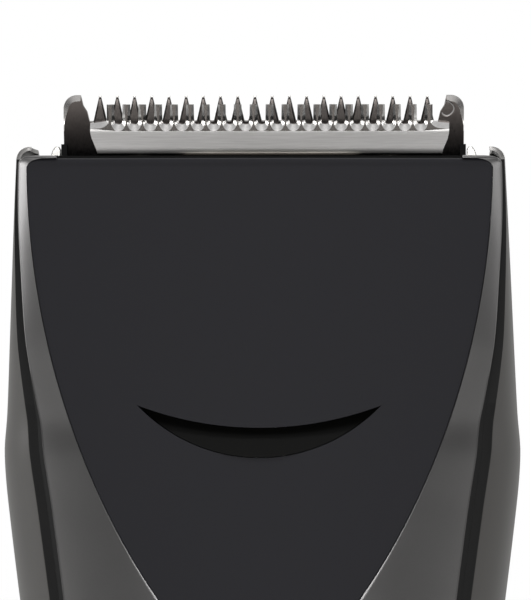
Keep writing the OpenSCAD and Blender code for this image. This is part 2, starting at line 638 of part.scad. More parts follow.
// Side profiles in Y and Z: end plates, the block behind the comb, and the front plate with its deck
module head_profile() polygon([[head_front + 0.1, 160.6], [head_front + 0.1, deck_top - 0.05],
    [1.2, deck_top - 0.05], [4.6, deck_top + 0.05], [6.4, 167.6], [7.4, 165.2], [6.6, 162.6],
    [5.6, hinge_z - 0.4]]);
module head_wedge() polygon([[hinge_y - 1, hinge_z - 1], [blade_y + 0.42, hinge_z - 1],
    [blade_y + 0.12, blade_z - 0.3], [blade_y - 0.9, blade_z + 4.7], [6.3, 167.5], [8.8, 165.2],
    [10.2, 162.6], [hinge_y + 0.9, hinge_z - 0.5], [hinge_y + 0.4, hinge_z - 1]]);
module head_deck() polygon([[head_front, 160.5], [head_front, deck_top], [head_front + 9.6, deck_top],
    [head_front + 9.6, deck_z], [head_front + 1.2, deck_z], [head_front + 1.2, 160.5]]);
module across(x0, x1) translate([x0, 0, 0]) rotate([90, 0, 90]) linear_extrude(x1 - x0) children();
module head_frame() color(black) difference() {
    union() {
        for (s = [-1, 1]) across(s > 0 ? side_in : -side_out, s > 0 ? side_out : -side_in) head_profile();
        across(-side_in - 0.4, side_in + 0.4) head_wedge();
        across(-side_out + 0.1, side_out - 0.1) head_deck();
        for (s = [-1, 1]) {
            translate([s * 20.7 - 0.4, 2.4, deck_z - 1]) cube([0.8, 1.2, 2.7]);
            translate([s * 20.6 - 0.3, 2.4, deck_z]) cube([0.6, 1.2, 3.4]);
        }
    }
    translate([-30, hinge_y, hinge_z]) rotate([0, 90, 0]) cylinder(r = 0.64, h = 60);
    for (s = [-1, 1]) translate([s * (lug_x + 1) - 1.3, hinge_y - 1.5, hinge_z - 1.6]) cube([2.6, 4, 3.1]);
    for (s = [-1, 1]) on_blade(-3) translate([s * 13, 2.2, 0]) cylinder(r = 0.8, h = 4);
    for (s = [-1, 1]) translate([s * 21.2 - 1.2, 6.9, 158]) cube([2.4, 5, 3.2]);
}
module comb_screws() color(steel) for (s = [-1, 1]) on_blade() translate([s * 13, 2.2, 0]) difference() {
    union() {
        translate([0, 0, comb_t + 0.02]) cylinder(r = 1.7, h = 0.8);
        translate([0, 0, -2.6]) cylinder(r = 0.75, h = comb_t + 3);
    }
    for (a = [0, 90]) rotate(a) translate([-1.1, -0.2, comb_t + 0.4]) cube([2.2, 0.4, 1]);
}
// Two bent steel fingers from the deck's underside to the carrier
module pressure_spring() color(steel) for (s = [-1, 1])
    across(s * 6.4 - 1, s * 6.4 + 1) polygon([[-8.2, deck_z - 0.05], [-8.2, deck_z - 0.35],
        [-3, deck_z - 0.35], [0.9, deck_z - 1.9], [1.7, deck_z - 3.1], [2, deck_z - 3],
        [1.2, deck_z - 1.6], [-2.9, deck_z - 0.05]]);
// Bright wedge-shaped spring ends on the head's end plates
module spring_tabs() color(steel) for (s = [-1, 1]) scale([s, 1, 1]) translate([0, 4.4, 0]) rotate([90, 0, 0])
    linear_extrude(1.6) polygon([[21, deck_top + 0.07], [22.1, deck_top + 0.07], [21.8, deck_top + 0.9],
        [21.55, deck_top + 1.25], [21.2, deck_top + 1.25], [21, deck_top + 0.95]]);

front_shell();
rear_shell();
front_panel();
crescent_insert();
comb_rail(-1);  // comb_rail_left
comb_rail(1);  // comb_rail_right
grip(-1);  // grip_left
grip(1);  // grip_right
base_cap();
base_foot();
charge_socket();
socket_contacts();
case_screws();
light_pipe();
circuit_board();
board_components();
switch_body();
battery_cells();
battery_straps();
battery_cradle();
drive_frame();
motor_can();
motor_end_cap();
motor_magnets();
motor_terminals();
motor_screws();
lever_pin();
motor_leads();
seat_plate();
hinge_pin();
motor_shaft();
motor_armature();
commutator();
eccentric_cam();
drive_lever();
lever_bush();
power_slider();
switch_knob();
head_frame();
fixed_comb();
comb_screws();
pressure_spring();
spring_tabs();
moving_cutter();
cutter_carrier();
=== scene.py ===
"""Looks of the hair clipper round its CAD frame. Metres, Z up, front towards -Y.

Outlines are worked out in millimetres, as in the CAD source, and scaled when a mesh is made.
"""

import json
import math

import bmesh
import bpy
import numpy as np
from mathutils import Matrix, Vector


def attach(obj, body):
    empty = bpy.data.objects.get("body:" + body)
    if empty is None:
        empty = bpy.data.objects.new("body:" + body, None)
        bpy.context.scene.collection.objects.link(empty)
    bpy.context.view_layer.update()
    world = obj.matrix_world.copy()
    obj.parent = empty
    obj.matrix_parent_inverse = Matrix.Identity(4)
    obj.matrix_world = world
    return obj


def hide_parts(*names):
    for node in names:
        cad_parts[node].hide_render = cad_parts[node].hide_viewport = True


MM = 0.001
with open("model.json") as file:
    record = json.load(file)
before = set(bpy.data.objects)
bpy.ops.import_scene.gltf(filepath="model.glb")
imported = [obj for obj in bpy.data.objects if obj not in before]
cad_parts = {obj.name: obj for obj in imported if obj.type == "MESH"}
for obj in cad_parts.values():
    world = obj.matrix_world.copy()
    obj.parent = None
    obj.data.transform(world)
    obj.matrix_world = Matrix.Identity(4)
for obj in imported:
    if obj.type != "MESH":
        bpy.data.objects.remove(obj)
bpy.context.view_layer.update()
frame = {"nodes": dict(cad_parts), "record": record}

# ---------- outline of the housing
# height, half width, front depth, rear depth, front corner exponent, rear corner exponent
STATIONS = np.array([
    [0, 19.0, 14.4, 15.0, 2.5, 2.5],
    [30, 20.0, 15.6, 17.4, 2.4, 2.4],
    [70, 19.4, 15.8, 18.4, 2.3, 2.4],
    [95, 20.8, 15.5, 17.8, 2.3, 2.4],
    [118, 24.1, 15.0, 16.6, 2.35, 2.5],
    [134, 26.1, 14.8, 15.4, 2.5, 2.6],
    [139.5, 26.5, 14.6, 14.8, 2.7, 2.8],
    [143.5, 26.2, 14.4, 14.2, 3.0, 3.0],
    [150, 25.85, 14.0, 13.2, 4.0, 3.4],
    [160, 25.35, 13.2, 11.4, 6.3, 4.5],
    [172, 24.7, 12.2, 9.6, 12, 6],
])
BODY_H = 169.5
BASE_ROUND = 6.0
# The smooth outline would bulge this much past the CAD solid's flat-sided one
CHORD_ALLOWANCE = 0.022
SHELL_BOTTOM = 10.0
WALL = 1.7
# Radius of the rolled lip round the top, and its thickness
LIP_R, LIP_T = 1.3, 0.4
LIP_STEPS = 10
GROOVE_FRONT, GROOVE_BACK = -10.4, -9.2
# Tops of the front shell, of the sides beside the blades and of the scooped rear
SHELL_TOP, SIDE_TOP, REAR_TOP = BODY_H + 0.3, BODY_H - 0.05, 157.4
PANEL_HALF, PANEL_LEN, PANEL_CROWN, PANEL_T = 23.5, 54.0, 0.052, 1.25
PANEL_TIP = BODY_H - PANEL_LEN
# How far the rounded corners reach across and down
PANEL_CORNER, SHELL_CORNER = (1.8, 1.0), (0.9, 0.9)
# Half width of the gap in the front shell's rim, above the panel
RIM_GAP_HALF = 20.45
# Gap at the panel, radius of the flank's edge there, width of its shoulder at the groove
SEAM_GAP, SEAM_R, SHOULDER = 0.03, 0.035, 0.16
# Columns of the flank's points that make the seam's wall and its rounded edge
SEAM_COLUMNS = 4
# The power slider's height, and its pocket: half width, depth of the floor, bottom and top
SLIDER_Z, POCKET_HALF, POCKET_Y = 90, 6.0, -14.5
POCKET_LOW, POCKET_HIGH = SLIDER_Z - 8.7, SLIDER_Z + 12.7
GRIP_LOW, GRIP_LEN = 26, 98
CAP_BOTTOM, SOCKET_HOLE_R = 0.8, 4.65
# The foot's seat in the base cap: radius of its ends, half distance of their centres and depth
SEAT_R, SEAT_HALF, SEAT_DEEP = 9.6, 5.6, 0.65


def outline(z, column):
    """Smooth value of one column of the stations at heights z."""
    z = np.asarray(z, float)
    heights, values = STATIONS[:, 0], STATIONS[:, column]
    last = len(heights) - 1
    k = np.clip(np.searchsorted(heights, z, side="right") - 1, 0, last - 1)
    before, after = np.maximum(np.arange(last + 1) - 1, 0), np.minimum(np.arange(last + 1) + 1, last)
    slopes = (values[after] - values[before]) / (heights[after] - heights[before])
    h = heights[k + 1] - heights[k]
    t = (z - heights[k]) / h
    return ((1 + 2 * t) * (1 - t) ** 2 * values[k] + t * t * (3 - 2 * t) * values[k + 1]
            + h * t * (1 - t) ** 2 * slopes[k] - h * t * t * (1 - t) * slopes[k + 1])


def base_inset(z):
    """How far the rounded bottom draws the outline in."""
    d = BASE_ROUND - np.minimum(np.asarray(z, float), BASE_ROUND)
    return BASE_ROUND - np.sqrt(BASE_ROUND**2 - d**2)


def half_width(z, inset=0.0):
    return outline(z, 1) - inset - base_inset(z) - CHORD_ALLOWANCE


def front_depth(z, inset=0.0):
    return outline(z, 2) - inset - base_inset(z)


def rear_depth(z, inset=0.0):
    return outline(z, 3) - inset - base_inset(z) - CHORD_ALLOWANCE


def front_x(y, z, inset=0.0):
    """Half width of the front half's section at depth y."""
    n = outline(z, 4)
    rest = 1 - (np.abs(y) / front_depth(z, inset)) ** n
    return half_width(z, inset) * np.maximum(rest, 0) ** (1 / n)


def front_y(x, z, inset=0.0):
    """Depth of the front half's section at half width x."""
    n = outline(z, 4)
    rest = 1 - (np.abs(x) / half_width(z, inset)) ** n
    return -front_depth(z, inset) * np.maximum(rest, 0) ** (1 / n)


def corner_inset(z, r, top):
    """Inset of a corner that reaches r[0] across and r[1] down from the top."""
    d = np.clip((np.asarray(z, float) - top) / r[1] + 1, 0, 1)
    return r[0] * (1 - np.sqrt(1 - d * d))


def rounding(depth, r):
    """Inset of an edge of radius r, at this depth into the round."""
    return r - np.sqrt(np.maximum(r**2 - np.clip(depth, 0, r) ** 2, 0))


def panel_x(z):
    """Half width of the panel."""
    t = (BODY_H - np.asarray(z, float)) / PANEL_LEN
    shield = PANEL_HALF * np.maximum(1 - t * t, 0) ** 0.75
    return np.maximum(shield - corner_inset(z, PANEL_CORNER, BODY_H), 0)


def panel_y(x, z):
    """Depth of the panel's face, slightly crowned between its edges."""
    edge = np.maximum(panel_x(z), 0.01)
    return front_y(edge, z) - PANEL_CROWN * edge * (1 - (x / edge) ** 2)


def smooth(t):
    """0 to 1 with level ends."""
    t = np.clip(t, 0, 1)
    return t * t * (3 - 2 * t)


# ---------- meshes
def grid_faces(rows, cols, start, flip, wrap):
    """Quads between the rows of a grid of points; wrap closes each row into a ring."""
    faces = []
    for j in range(rows - 1):
        for i in range(cols if wrap else cols - 1):
            a, b = start + j * cols + i, start + j * cols + (i + 1) % cols
            quad = (a, b, b + cols, a + cols)
            faces.append(quad[::-1] if flip else quad)
    return faces


def add_object(name, data):
    obj = bpy.data.objects.new(name, data)
    bpy.context.scene.collection.objects.link(obj)
    return obj


class Build:
    """Gathers grids of points, in millimetres, into one mesh. A kind is the number of a face's material."""

    def __init__(self):
        self.points, self.faces, self.kinds = [], [], []

    def grid(self, p, flip=False, wrap=False, kind=0):
        p = np.asarray(p, float)
        made = grid_faces(p.shape[0], p.shape[1], len(self.points), flip, wrap)
        self.points.extend(p.reshape(-1, 3).tolist())
        self.faces.extend(made)
        self.kinds.extend([kind] * len(made))

    def face(self, points, kind=0):
        start = len(self.points)
        self.points.extend([list(map(float, p)) for p in points])
        self.faces.append(tuple(range(start, start + len(points))))
        self.kinds.append(kind)

    def object(self, name, materials, sharp=38.0, merge=0.0005):
        """The gathered mesh as an object, smooth but for edges sharper than this many degrees."""
        mesh = bpy.data.meshes.new(name)
        mesh.from_pydata((np.asarray(self.points, float) * MM).tolist(), [], self.faces)
        mesh.polygons.foreach_set("material_index", self.kinds)
        bm = bmesh.new()
        bm.from_mesh(mesh)
        bmesh.ops.remove_doubles(bm, verts=bm.verts, dist=merge * MM)
        bm.to_mesh(mesh)
        bm.free()
        mesh.polygons.foreach_set("use_smooth", [True] * len(mesh.polygons))
        mesh.set_sharp_from_angle(angle=math.radians(sharp))
        for material in materials:
            mesh.materials.append(material)
        mesh.update()
        return add_object(name, mesh)


def place(obj, body, slot, *nodes):
    """The piece rides on a body and stands for CAD nodes, which it hides. The slot is not used."""
    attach(obj, body)
    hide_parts(*nodes)
    return obj


def moved(points, axis, value):
    """A copy of the points with one coordinate set."""
    copy = points.copy()
    copy[..., axis] = value
    return copy


def panel_rows(length, steps):
    """Heights from the panel's tip to its top, dense at the tip and round the top corners."""
    middle = BODY_H - length * np.sin(np.radians(np.linspace(90, 0, steps)))
    middle = middle[middle < BODY_H - PANEL_CORNER[1] - 0.2]
    top = BODY_H - PANEL_CORNER[1] * (1 - np.cos(np.radians(np.linspace(90, 0, 30))))
    return np.concatenate([middle, top])


def flank_rows():
    """Heights of the flank's rows, from the base cap to the rim."""
    below = np.linspace(SHELL_BOTTOM, PANEL_TIP, 108)[:-1]
    rim = np.linspace(BODY_H, SHELL_TOP, 9)[1:]
    return np.concatenate([below, panel_rows(PANEL_LEN, 120), rim])


def flank_places(near, far, z):
    """Half widths of the columns across the flank. Beside the pocket, one keeps to the pocket's side."""
    share = 1 - (1 - np.linspace(0, 1, 34)) ** 1.35
    pin = int(np.argmin(np.abs(share - 0.36)))
    beside_pocket = smooth((z - 74) / 6) * smooth((110 - z) / 5)
    places = []
    for i, s in enumerate(share[1:], 1):
        even = near + (far - near) * s
        if i <= pin:
            pinned = POCKET_HALF * s / share[pin]
        else:
            pinned = POCKET_HALF + (far - POCKET_HALF) * (s - share[pin]) / (1 - share[pin])
        places.append(even + (pinned - even) * beside_pocket)
    return places, pin


def flank_columns(z):
    """Points of the right flank from the seam to the groove, and the number of the pocket's column."""
    bed = np.clip(panel_x(z) / 0.4, 0, 1)
    inner = np.where(z > PANEL_TIP, panel_x(z) + SEAM_GAP * bed, 0)
    inner[z > BODY_H + 0.01] = RIM_GAP_HALF
    top_r, low_r = 0.5, 0.2
    inset = rounding(z - SHELL_TOP + top_r, top_r) + rounding(SHELL_BOTTOM + low_r - z, low_r)
    outer = front_x(GROOVE_FRONT, z, inset) - corner_inset(z, SHELL_CORNER, SHELL_TOP)
    near, far = inner + SEAM_R * bed, outer - SHOULDER
    near_y, far_y = front_y(near, z, inset), front_y(far, z, inset)
    flat = 0.75 * smooth((z - 138) / 14)

    def surface(x):
        """Depth of the flank, which is nearly flat across beside the blades and full lower down."""
        chord = near_y + (far_y - near_y) * np.clip((x - near) / np.maximum(far - near, 0.01), 0, 1)
        return np.minimum(front_y(x, z, inset) * (1 - flat) + chord * flat, GROOVE_FRONT)

    # Seam wall and its rounded edge
    columns = []
    for depth, step in ((0.9, 0.0), (SEAM_R, 0.0), (SEAM_R * 0.3, SEAM_R * 0.3), (0.0, SEAM_R)):
        x = inner + step * bed
        columns.append((x, surface(x) + depth * bed))
    places, pin = flank_places(near, far, z)
    columns += [(x, surface(x)) for x in places]
    # Rounded shoulder and wall at the groove
    wall_y = np.full_like(z, GROOVE_FRONT)
    columns.append((outer - 0.03, (surface(far) + GROOVE_FRONT) / 2 - 0.02))
    columns += [(outer, wall_y), (outer - 1.2, wall_y)]
    return np.stack([np.stack([x, y, z], -1) for x, y in columns], 1), SEAM_COLUMNS - 1 + pin


def slider_pocket(build, flank, low_row, high_row, column, side):
    """Walls and floor of half the slider's pocket."""
    flip = side < 0
    rim = flank[low_row : high_row + 1, column]
    build.grid([rim, moved(rim, 1, POCKET_Y)], not flip, kind=1)
    for row in (low_row, high_row):
        edge = flank[row, : column + 1]
        build.grid([edge, moved(edge, 1, POCKET_Y)], (row == high_row) != flip, kind=1)
    corners = [[(x, POCKET_Y, z) for x in (0, side * POCKET_HALF)] for z in (POCKET_LOW, POCKET_HIGH)]
    build.grid(corners, flip, kind=1)


def shell_land(build, edge, drop, flip):
    """Land that runs in from the flank's top or bottom edge, and the wall behind it."""
    back = moved(edge, 1, np.minimum(edge[:, 1] + 1.15, GROOVE_FRONT + 0.05))
    build.grid([edge, back, moved(back, 2, back[:, 2] + drop)], flip)


def front_shell(paint, dark):
    """Flanks and handle front in one skin, with a rounded seam at the panel and at the groove."""
    build = Build()
    z = flank_rows()
    points, column = flank_columns(z)
    low_row, high_row = (int(np.argmin(np.abs(z - at))) for at in (POCKET_LOW, POCKET_HIGH))
    points[low_row, :, 2], points[high_row, :, 2] = POCKET_LOW, POCKET_HIGH
    for side in (-1, 1):
        flank = points * [side, 1, 1]
        flip = side < 0
        build.grid(flank[: low_row + 1], flip)
        build.grid(flank[low_row : high_row + 1, column:], flip)
        build.grid(flank[high_row:, :SEAM_COLUMNS], flip, kind=1)
        build.grid(flank[high_row:, SEAM_COLUMNS - 1 :], flip)
        slider_pocket(build, flank, low_row, high_row, column, side)
        shell_land(build, flank[-1, SEAM_COLUMNS - 1 :], -2.5, side > 0)
        shell_land(build, flank[0, SEAM_COLUMNS - 1 :], 2.0, flip)
    return build.object("front_shell_skin", [paint, dark], sharp=50)


def crescent_outline(steps=48):
    """Closed outline in x and z of the cut between its two arcs."""
    half, up, down, level = 12.3, 2.25, 5.3, 144.6
    x = half * np.cos(np.linspace(0, math.pi, steps))

    def arc(sag):
        r = (half**2 + sag**2) / (2 * sag)
        return np.stack([x, level - sag + r - np.sqrt(r**2 - x**2)], 1)

    return np.concatenate([arc(up), arc(down)[::-1][1:-1]])


def panel_face():
    """Points of the panel's face, with the wall behind its softly rounded rim, from right to left."""
    z = panel_rows(PANEL_LEN - 0.05, 110)
    edge = panel_x(z)
    rim = np.minimum(0.12, 0.45 * edge)
    top_r = 0.6
    top_in = rounding(z - BODY_H + top_r, top_r)
    columns = []
    for a in np.radians((0, 30, 60)):
        x = edge - rim * (1 - math.cos(a))
        columns.append((x, panel_y(x, z) + rim * (1 - math.sin(a)) * 0.8 + top_in))
    for s in 1 - np.linspace(0, 1, 44) ** 1.15:
        x = (edge - rim) * s
        columns.append((x, panel_y(x, z) + top_in))
    face = np.stack([np.stack([x, y, z], -1) for x, y in columns], 1)
    wall = face[:, :1] + [0, 1.0, 0]
    right = np.concatenate([wall, face], 1)
    left = (right * [-1, 1, 1])[:, ::-1]
    return np.concatenate([right, left[:, 1:]], 1)


def front_panel(plastic):
    """Shield-shaped panel with the crescent cut through it."""
    build = Build()
    front = panel_face()
    back = front + [0, PANEL_T, 0]
    build.grid(front, True)
    build.grid(back)
    build.grid([front[-1], back[-1]], True)
    build.grid([front[0], back[0]])
    build.grid(np.stack([front[:, 0], back[:, 0]], 1))
    build.grid(np.stack([front[:, -1], back[:, -1]], 1), True)
    panel = build.object("front_panel_face", [plastic], sharp=40)
    ring = crescent_outline()
    ends = [[(x, y, z) for x, z in ring] for y in (-30.0, -6.0)]
    cut = Build()
    cut.grid(ends, wrap=True)
    cut.face(ends[0][::-1])
    cut.face(ends[1])
    carve(panel, cut.object("crescent_cutter", [plastic]))
    return panel


def carve(obj, cutter):
    """Cuts one mesh from another at once, and removes the cutter."""
    for o in (obj, cutter):
        bm = bmesh.new()
        bm.from_mesh(o.data)
        bmesh.ops.recalc_face_normals(bm, faces=bm.faces)
        bm.to_mesh(o.data)
        bm.free()
    modifier = obj.modifiers.new("cut", "BOOLEAN")
    modifier.operation, modifier.object, modifier.solver = "DIFFERENCE", cutter, "EXACT"
    graph = bpy.context.evaluated_depsgraph_get()
    mesh = bpy.data.meshes.new_from_object(obj.evaluated_get(graph))
    obj.modifiers.clear()
    old, obj.data = obj.data, mesh
    bpy.data.meshes.remove(old)
    bpy.data.objects.remove(cutter)
    mesh.polygons.foreach_set("use_smooth", [True] * len(mesh.polygons))
    mesh.set_sharp_from_angle(angle=math.radians(40))


def rear_section(q, z, inset=0.0):
    """A point of the rear shell's section: q runs 0 at the groove, 1 at the widest point, 2 at the rear."""
    side = q < 1
    y_side = GROOVE_BACK * (1 - np.minimum(q, 1)) ** 0.8
    x_side = front_x(y_side, z, inset)
    a = np.radians(90 * (2 - np.maximum(q, 1)))
    e = 2 / outline(z, 5)
    x_rear = half_width(z, inset) * np.abs(np.sin(a)) ** e
    y_rear = rear_depth(z, inset) * np.maximum(np.cos(a), 0) ** e
    return np.where(side, x_side, x_rear), np.where(side, y_side, y_rear)


def column_top(q):
    """Where the lip starts: high beside the blades, scooped down at the rear."""
    k = 11 * (2 - np.maximum(q, 1))
    return np.where(q < 1, SIDE_TOP, REAR_TOP + (SIDE_TOP - REAR_TOP) * smooth((k - 5.5) / 4.5))


def rear_wall(z):
    """Wall of the rear shell, thinner beside the blades."""
    return WALL - 1.1 * smooth((z - 160) / 6)


def rolled_lip(q, top):
    """Rows of the lip that rolls in round the top, and of the wall inside it."""
    tops = np.broadcast_to(top, (1, len(q)))
    places = np.broadcast_to(q, tops.shape)

    def row(z, inset, height, lowest_y=None):
        x, y = rear_section(places, z, inset)
        y = np.where(places <= 0, GROOVE_BACK, y) if lowest_y is None else np.maximum(y, lowest_y)
        return np.stack([x, y, height], -1)

    rows = []
    for a in np.radians(np.linspace(0, 90, LIP_STEPS))[1:]:
        rows.append(row(tops, LIP_R * (1 - math.cos(a)), tops + LIP_R * math.sin(a), GROOVE_BACK + LIP_T))
    inner_r = LIP_R - LIP_T
    for a in np.radians(np.linspace(90, 0, LIP_STEPS)):
        rows.append(row(tops, LIP_R - inner_r * math.cos(a), tops + inner_r * math.sin(a)))
    for drop in (1.0, 3.0, 6.0, 9.0):
        rows.append(row(tops - drop, rear_wall(tops - drop) * 0.9, tops - drop))
    return rows


def rear_shell(paint, dark, bright):
    """Sides and back, with the rolled lip round the top."""
    build = Build()
    q = np.concatenate([[0, 0.012, 0.04], np.linspace(0, 1, 30)[3:-1], 1 + np.linspace(0, 1, 72) ** 0.9])
    count = 190
    rise = 1 - (1 - np.linspace(0, 1, count)) ** 1.25
    top = column_top(q)
    z = SHELL_BOTTOM + (top[None, :] - SHELL_BOTTOM) * rise[:, None]
    low_r = 0.2
    x, y = rear_section(np.broadcast_to(q, z.shape), z, rounding(SHELL_BOTTOM + low_r - z, low_r))
    skin = np.concatenate([np.stack([x, y, z], -1)] + rolled_lip(q, top), 0)
    # Rows where the lip turns in and where it ends
    crest, lip_end = count + LIP_STEPS - 1, count + 2 * LIP_STEPS - 1
    # Groove wall: a land that runs inboard from the front edge
    edge = skin[:crest, 0].copy()
    land = edge.copy()
    land[:, 0] -= LIP_T + 0.95 * smooth((167 - edge[:, 2]) / 3)
    land[count:] = skin[crest:lip_end, 0][::-1][1:]
    for side in (-1, 1):
        whole = skin * [side, 1, 1]
        build.grid(whole[:count], side > 0)
        build.grid(whole[count - 1 : lip_end], side > 0, kind=2)
        build.grid(whole[lip_end - 1 :], side > 0)
        both = np.stack([edge, land], 1) * [side, 1, 1]
        build.grid(both[:count], side < 0, kind=1)
        build.grid(both[count - 1 :], side < 0, kind=2)
    return build.object("rear_shell_skin", [paint, dark, bright], sharp=50, merge=0.002)


def comb_rail(side, plastic):
    """Strip at the bottom of the groove, with chamfered edges."""
    z = np.linspace(SHELL_BOTTOM + 0.35, BODY_H - 0.95, 150)
    y0, y1 = GROOVE_FRONT + 0.05, GROOVE_BACK - 0.05
    chamfer, thick = 0.12, 1.25
    recess = 0.12 + 0.68 * smooth((z - 106) / 8) + np.where(z > 160, 0.05, 0)
    profile = [(y0, thick), (y0, chamfer), (y0 + chamfer, 0.0), ((y0 + y1) / 2, -0.02),
               (y1 - chamfer, 0.0), (y1, chamfer), (y1, thick)]
    columns = []
    for y, back in profile:
        columns.append(np.stack([side * (front_x(y, z) - recess - back), np.full_like(z, y), z], -1))
    build = Build()
    build.grid(np.stack(columns, 1), side < 0)
    return build.object("comb_rail_skin_" + ("left" if side < 0 else "right"), [plastic])


def grip(side, rubber):
    """Soft pad, standing a little proud, with its edge rolled into the shell."""
    rows, cols = 140, 44
    t = (1 - np.cos(np.linspace(0, math.pi, rows))) / 2
    z = (GRIP_LOW + GRIP_LEN * t)[:, None] + np.zeros((rows, cols))
    u = np.sin(np.linspace(-math.pi / 2, math.pi / 2, cols))[None, :]
    # Half the angle that the pad spans, in degrees, and its middle's angle behind the widest point
    spread = 3 + 42 * np.sqrt(np.maximum(1 - np.abs(2 * t - 1) ** 4, 0))
    a = np.radians(8 + u * spread[:, None])
    ends = np.minimum(t, 1 - t)[:, None] * GRIP_LEN
    border = np.minimum((1 - np.abs(u)) * spread[:, None] * 0.42, ends)
    sunk, rise = -0.35, 0.8
    swell = sunk + rise * (1 - (1 - np.clip(border, 0, 1)) ** 2) ** 0.5
    up = np.maximum(np.sin(a), 0) ** (2 / outline(z, 5)) * rear_depth(z)
    down = -np.maximum(np.sin(-a), 0) ** (2 / outline(z, 4)) * front_depth(z)
    e = np.where(a > 0, 2 / outline(z, 5), 2 / outline(z, 4))
    x = half_width(z) * np.cos(a) ** e + swell * np.cos(a)
    y = np.maximum(np.where(a > 0, up, down) + swell * np.sin(a), GROOVE_BACK + 0.5)
    build = Build()
    build.grid(np.stack([side * x, y, z], -1), side < 0)
    return build.object("grip_pad_" + ("left" if side < 0 else "right"), [rubber])


def cap_ring(z, a):
    """Ring of the base cap's outside at height z, its top edge rounded."""
    inset = rounding(z - 9.6, 0.25)
    front = np.sin(a) < 0
    n = np.where(front, outline(z, 4), outline(z, 5))
    depth = np.where(front, front_depth(z, inset), rear_depth(z, inset))
    x = half_width(z, inset) * np.sign(np.cos(a)) * np.abs(np.cos(a)) ** (2 / n)
    y = depth * np.sign(np.sin(a)) * np.abs(np.sin(a)) ** (2 / n)
    return np.stack([x, y, np.full(len(a), z)], -1)


def base_cap(plastic):
    """Closing cap with its rounded bottom, the foot's seat and the socket's hole."""
    steps = 120
    a = -2 * math.pi * np.arange(steps) / steps
    bottom_round = CAP_BOTTOM + 5.2 * (1 - np.cos(np.linspace(0, math.pi / 2, 22)))
    heights = np.concatenate([bottom_round, np.linspace(6.3, 9.55, 8), [9.7, 9.8, 9.84]])
    rings = [cap_ring(z, a) for z in heights]
    build = Build()
    build.grid(rings, True, wrap=True)
    # Flat ring in to the foot's seat, the seat and the socket's hole
    seat = []
    for x, y, _ in rings[0]:
        t = math.atan2(y, x)
        middle = SEAT_HALF * max(-1, min(1, math.cos(t) * 1.6))
        seat.append((middle + SEAT_R * math.cos(t), SEAT_R * math.sin(t), CAP_BOTTOM))
    deep = np.array(seat) + [0, 0, SEAT_DEEP]
    build.grid([deep, seat, rings[0]], True, wrap=True)
    hole = [SOCKET_HOLE_R * np.cos(a), SOCKET_HOLE_R * np.sin(a), np.full(steps, CAP_BOTTOM + SEAT_DEEP)]
    centre = np.stack(hole, -1)
    build.grid([centre, deep], True, wrap=True)
    build.grid([centre + [0, 0, 2.0], centre], True, wrap=True)
    top = rings[-1] * [0.9, 0.88, 1]
    build.grid([rings[-1], top], True, wrap=True)
    return build.object("base_cap_skin", [plastic], sharp=40)


# ---------- blades
BLADE_Y, BLADE_Z, LEAN = 6.3, 162.0, math.radians(12)
COMB_T, CUTTER_T, BLADE_GAP = 0.7, 0.7, 0.03
TOP_Z, TOOTH_LEN = 176.4, 2.76
TIP = (TOP_Z - BLADE_Z) / math.cos(LEAN)
ROOT = TIP - TOOTH_LEN
COMB_TEETH, COMB_PITCH, EAR_HALF = 20, 1.78, 20.7
CUTTER_TEETH, CUTTER_PITCH, CUTTER_OFFSET = 21, 1.644, 0.63
CUTTER_TIP = TIP - 0.77
# Where the cutter's inclined tooth face meets its bar, and its thickness at the teeth's tips
CUTTER_CREASE, CUTTER_TIP_T = CUTTER_TIP - 2.78, 0.42
# The bar: half width, lower edge, how far that edge is rolled back, and the row from which the rolled edge
# takes the dark face steel as painted shade
BAR_HALF, BAR_LOW, BAR_ROLL, BAR_PAINTED_SHADE_ROW = 18.55, 4.4, 0.45, 9
# Points along the straight and along the round stretch of a valley
VALLEY_STEPS = 9


def blade(p):
    """Blade points (across, up, out of the front) to the row frame."""
    p = np.asarray(p, float)
    across, up, out = p[..., 0], p[..., 1], p[..., 2]
    y = BLADE_Y - up * math.sin(LEAN) - out * math.cos(LEAN)
    z = BLADE_Z + up * math.cos(LEAN) - out * math.sin(LEAN)
    return np.stack([across, y, z], -1)


def comb_tooth(build, x):
    """Pointed tooth: a loft of eight-sided sections that thins towards its tip."""
    # Height above the root, half width and thickness
    levels = [(-0.5, 0.70, 0.70), (0.12, 0.69, 0.70), (0.5, 0.60, 0.67), (1.5, 0.37, 0.58),
              (2.3, 0.185, 0.50), (2.5, 0.13, 0.45), (2.58, 0.115, 0.40), (2.64, 0.15, 0.40),
              (2.71, 0.145, 0.36), (TOOTH_LEN, 0.07, 0.30)]
    chamfer, shaft = 0.12, 7
    rings = []
    for up, w, thick in levels:
        b = min(0.16, w * 0.42)
        section = [(-w, chamfer), (b - w, 0.0), (w - b, 0.0), (w, chamfer),
                   (w, thick - chamfer), (w - b, thick), (b - w, thick), (-w, thick - chamfer)]
        rings.append([(x + across, ROOT + up, out) for across, out in section])
    points = blade(rings)
    build.grid(points[:shaft], wrap=True, kind=3)
    build.grid(points[shaft - 1 :], wrap=True, kind=1)
    build.face(points[-1], kind=1)


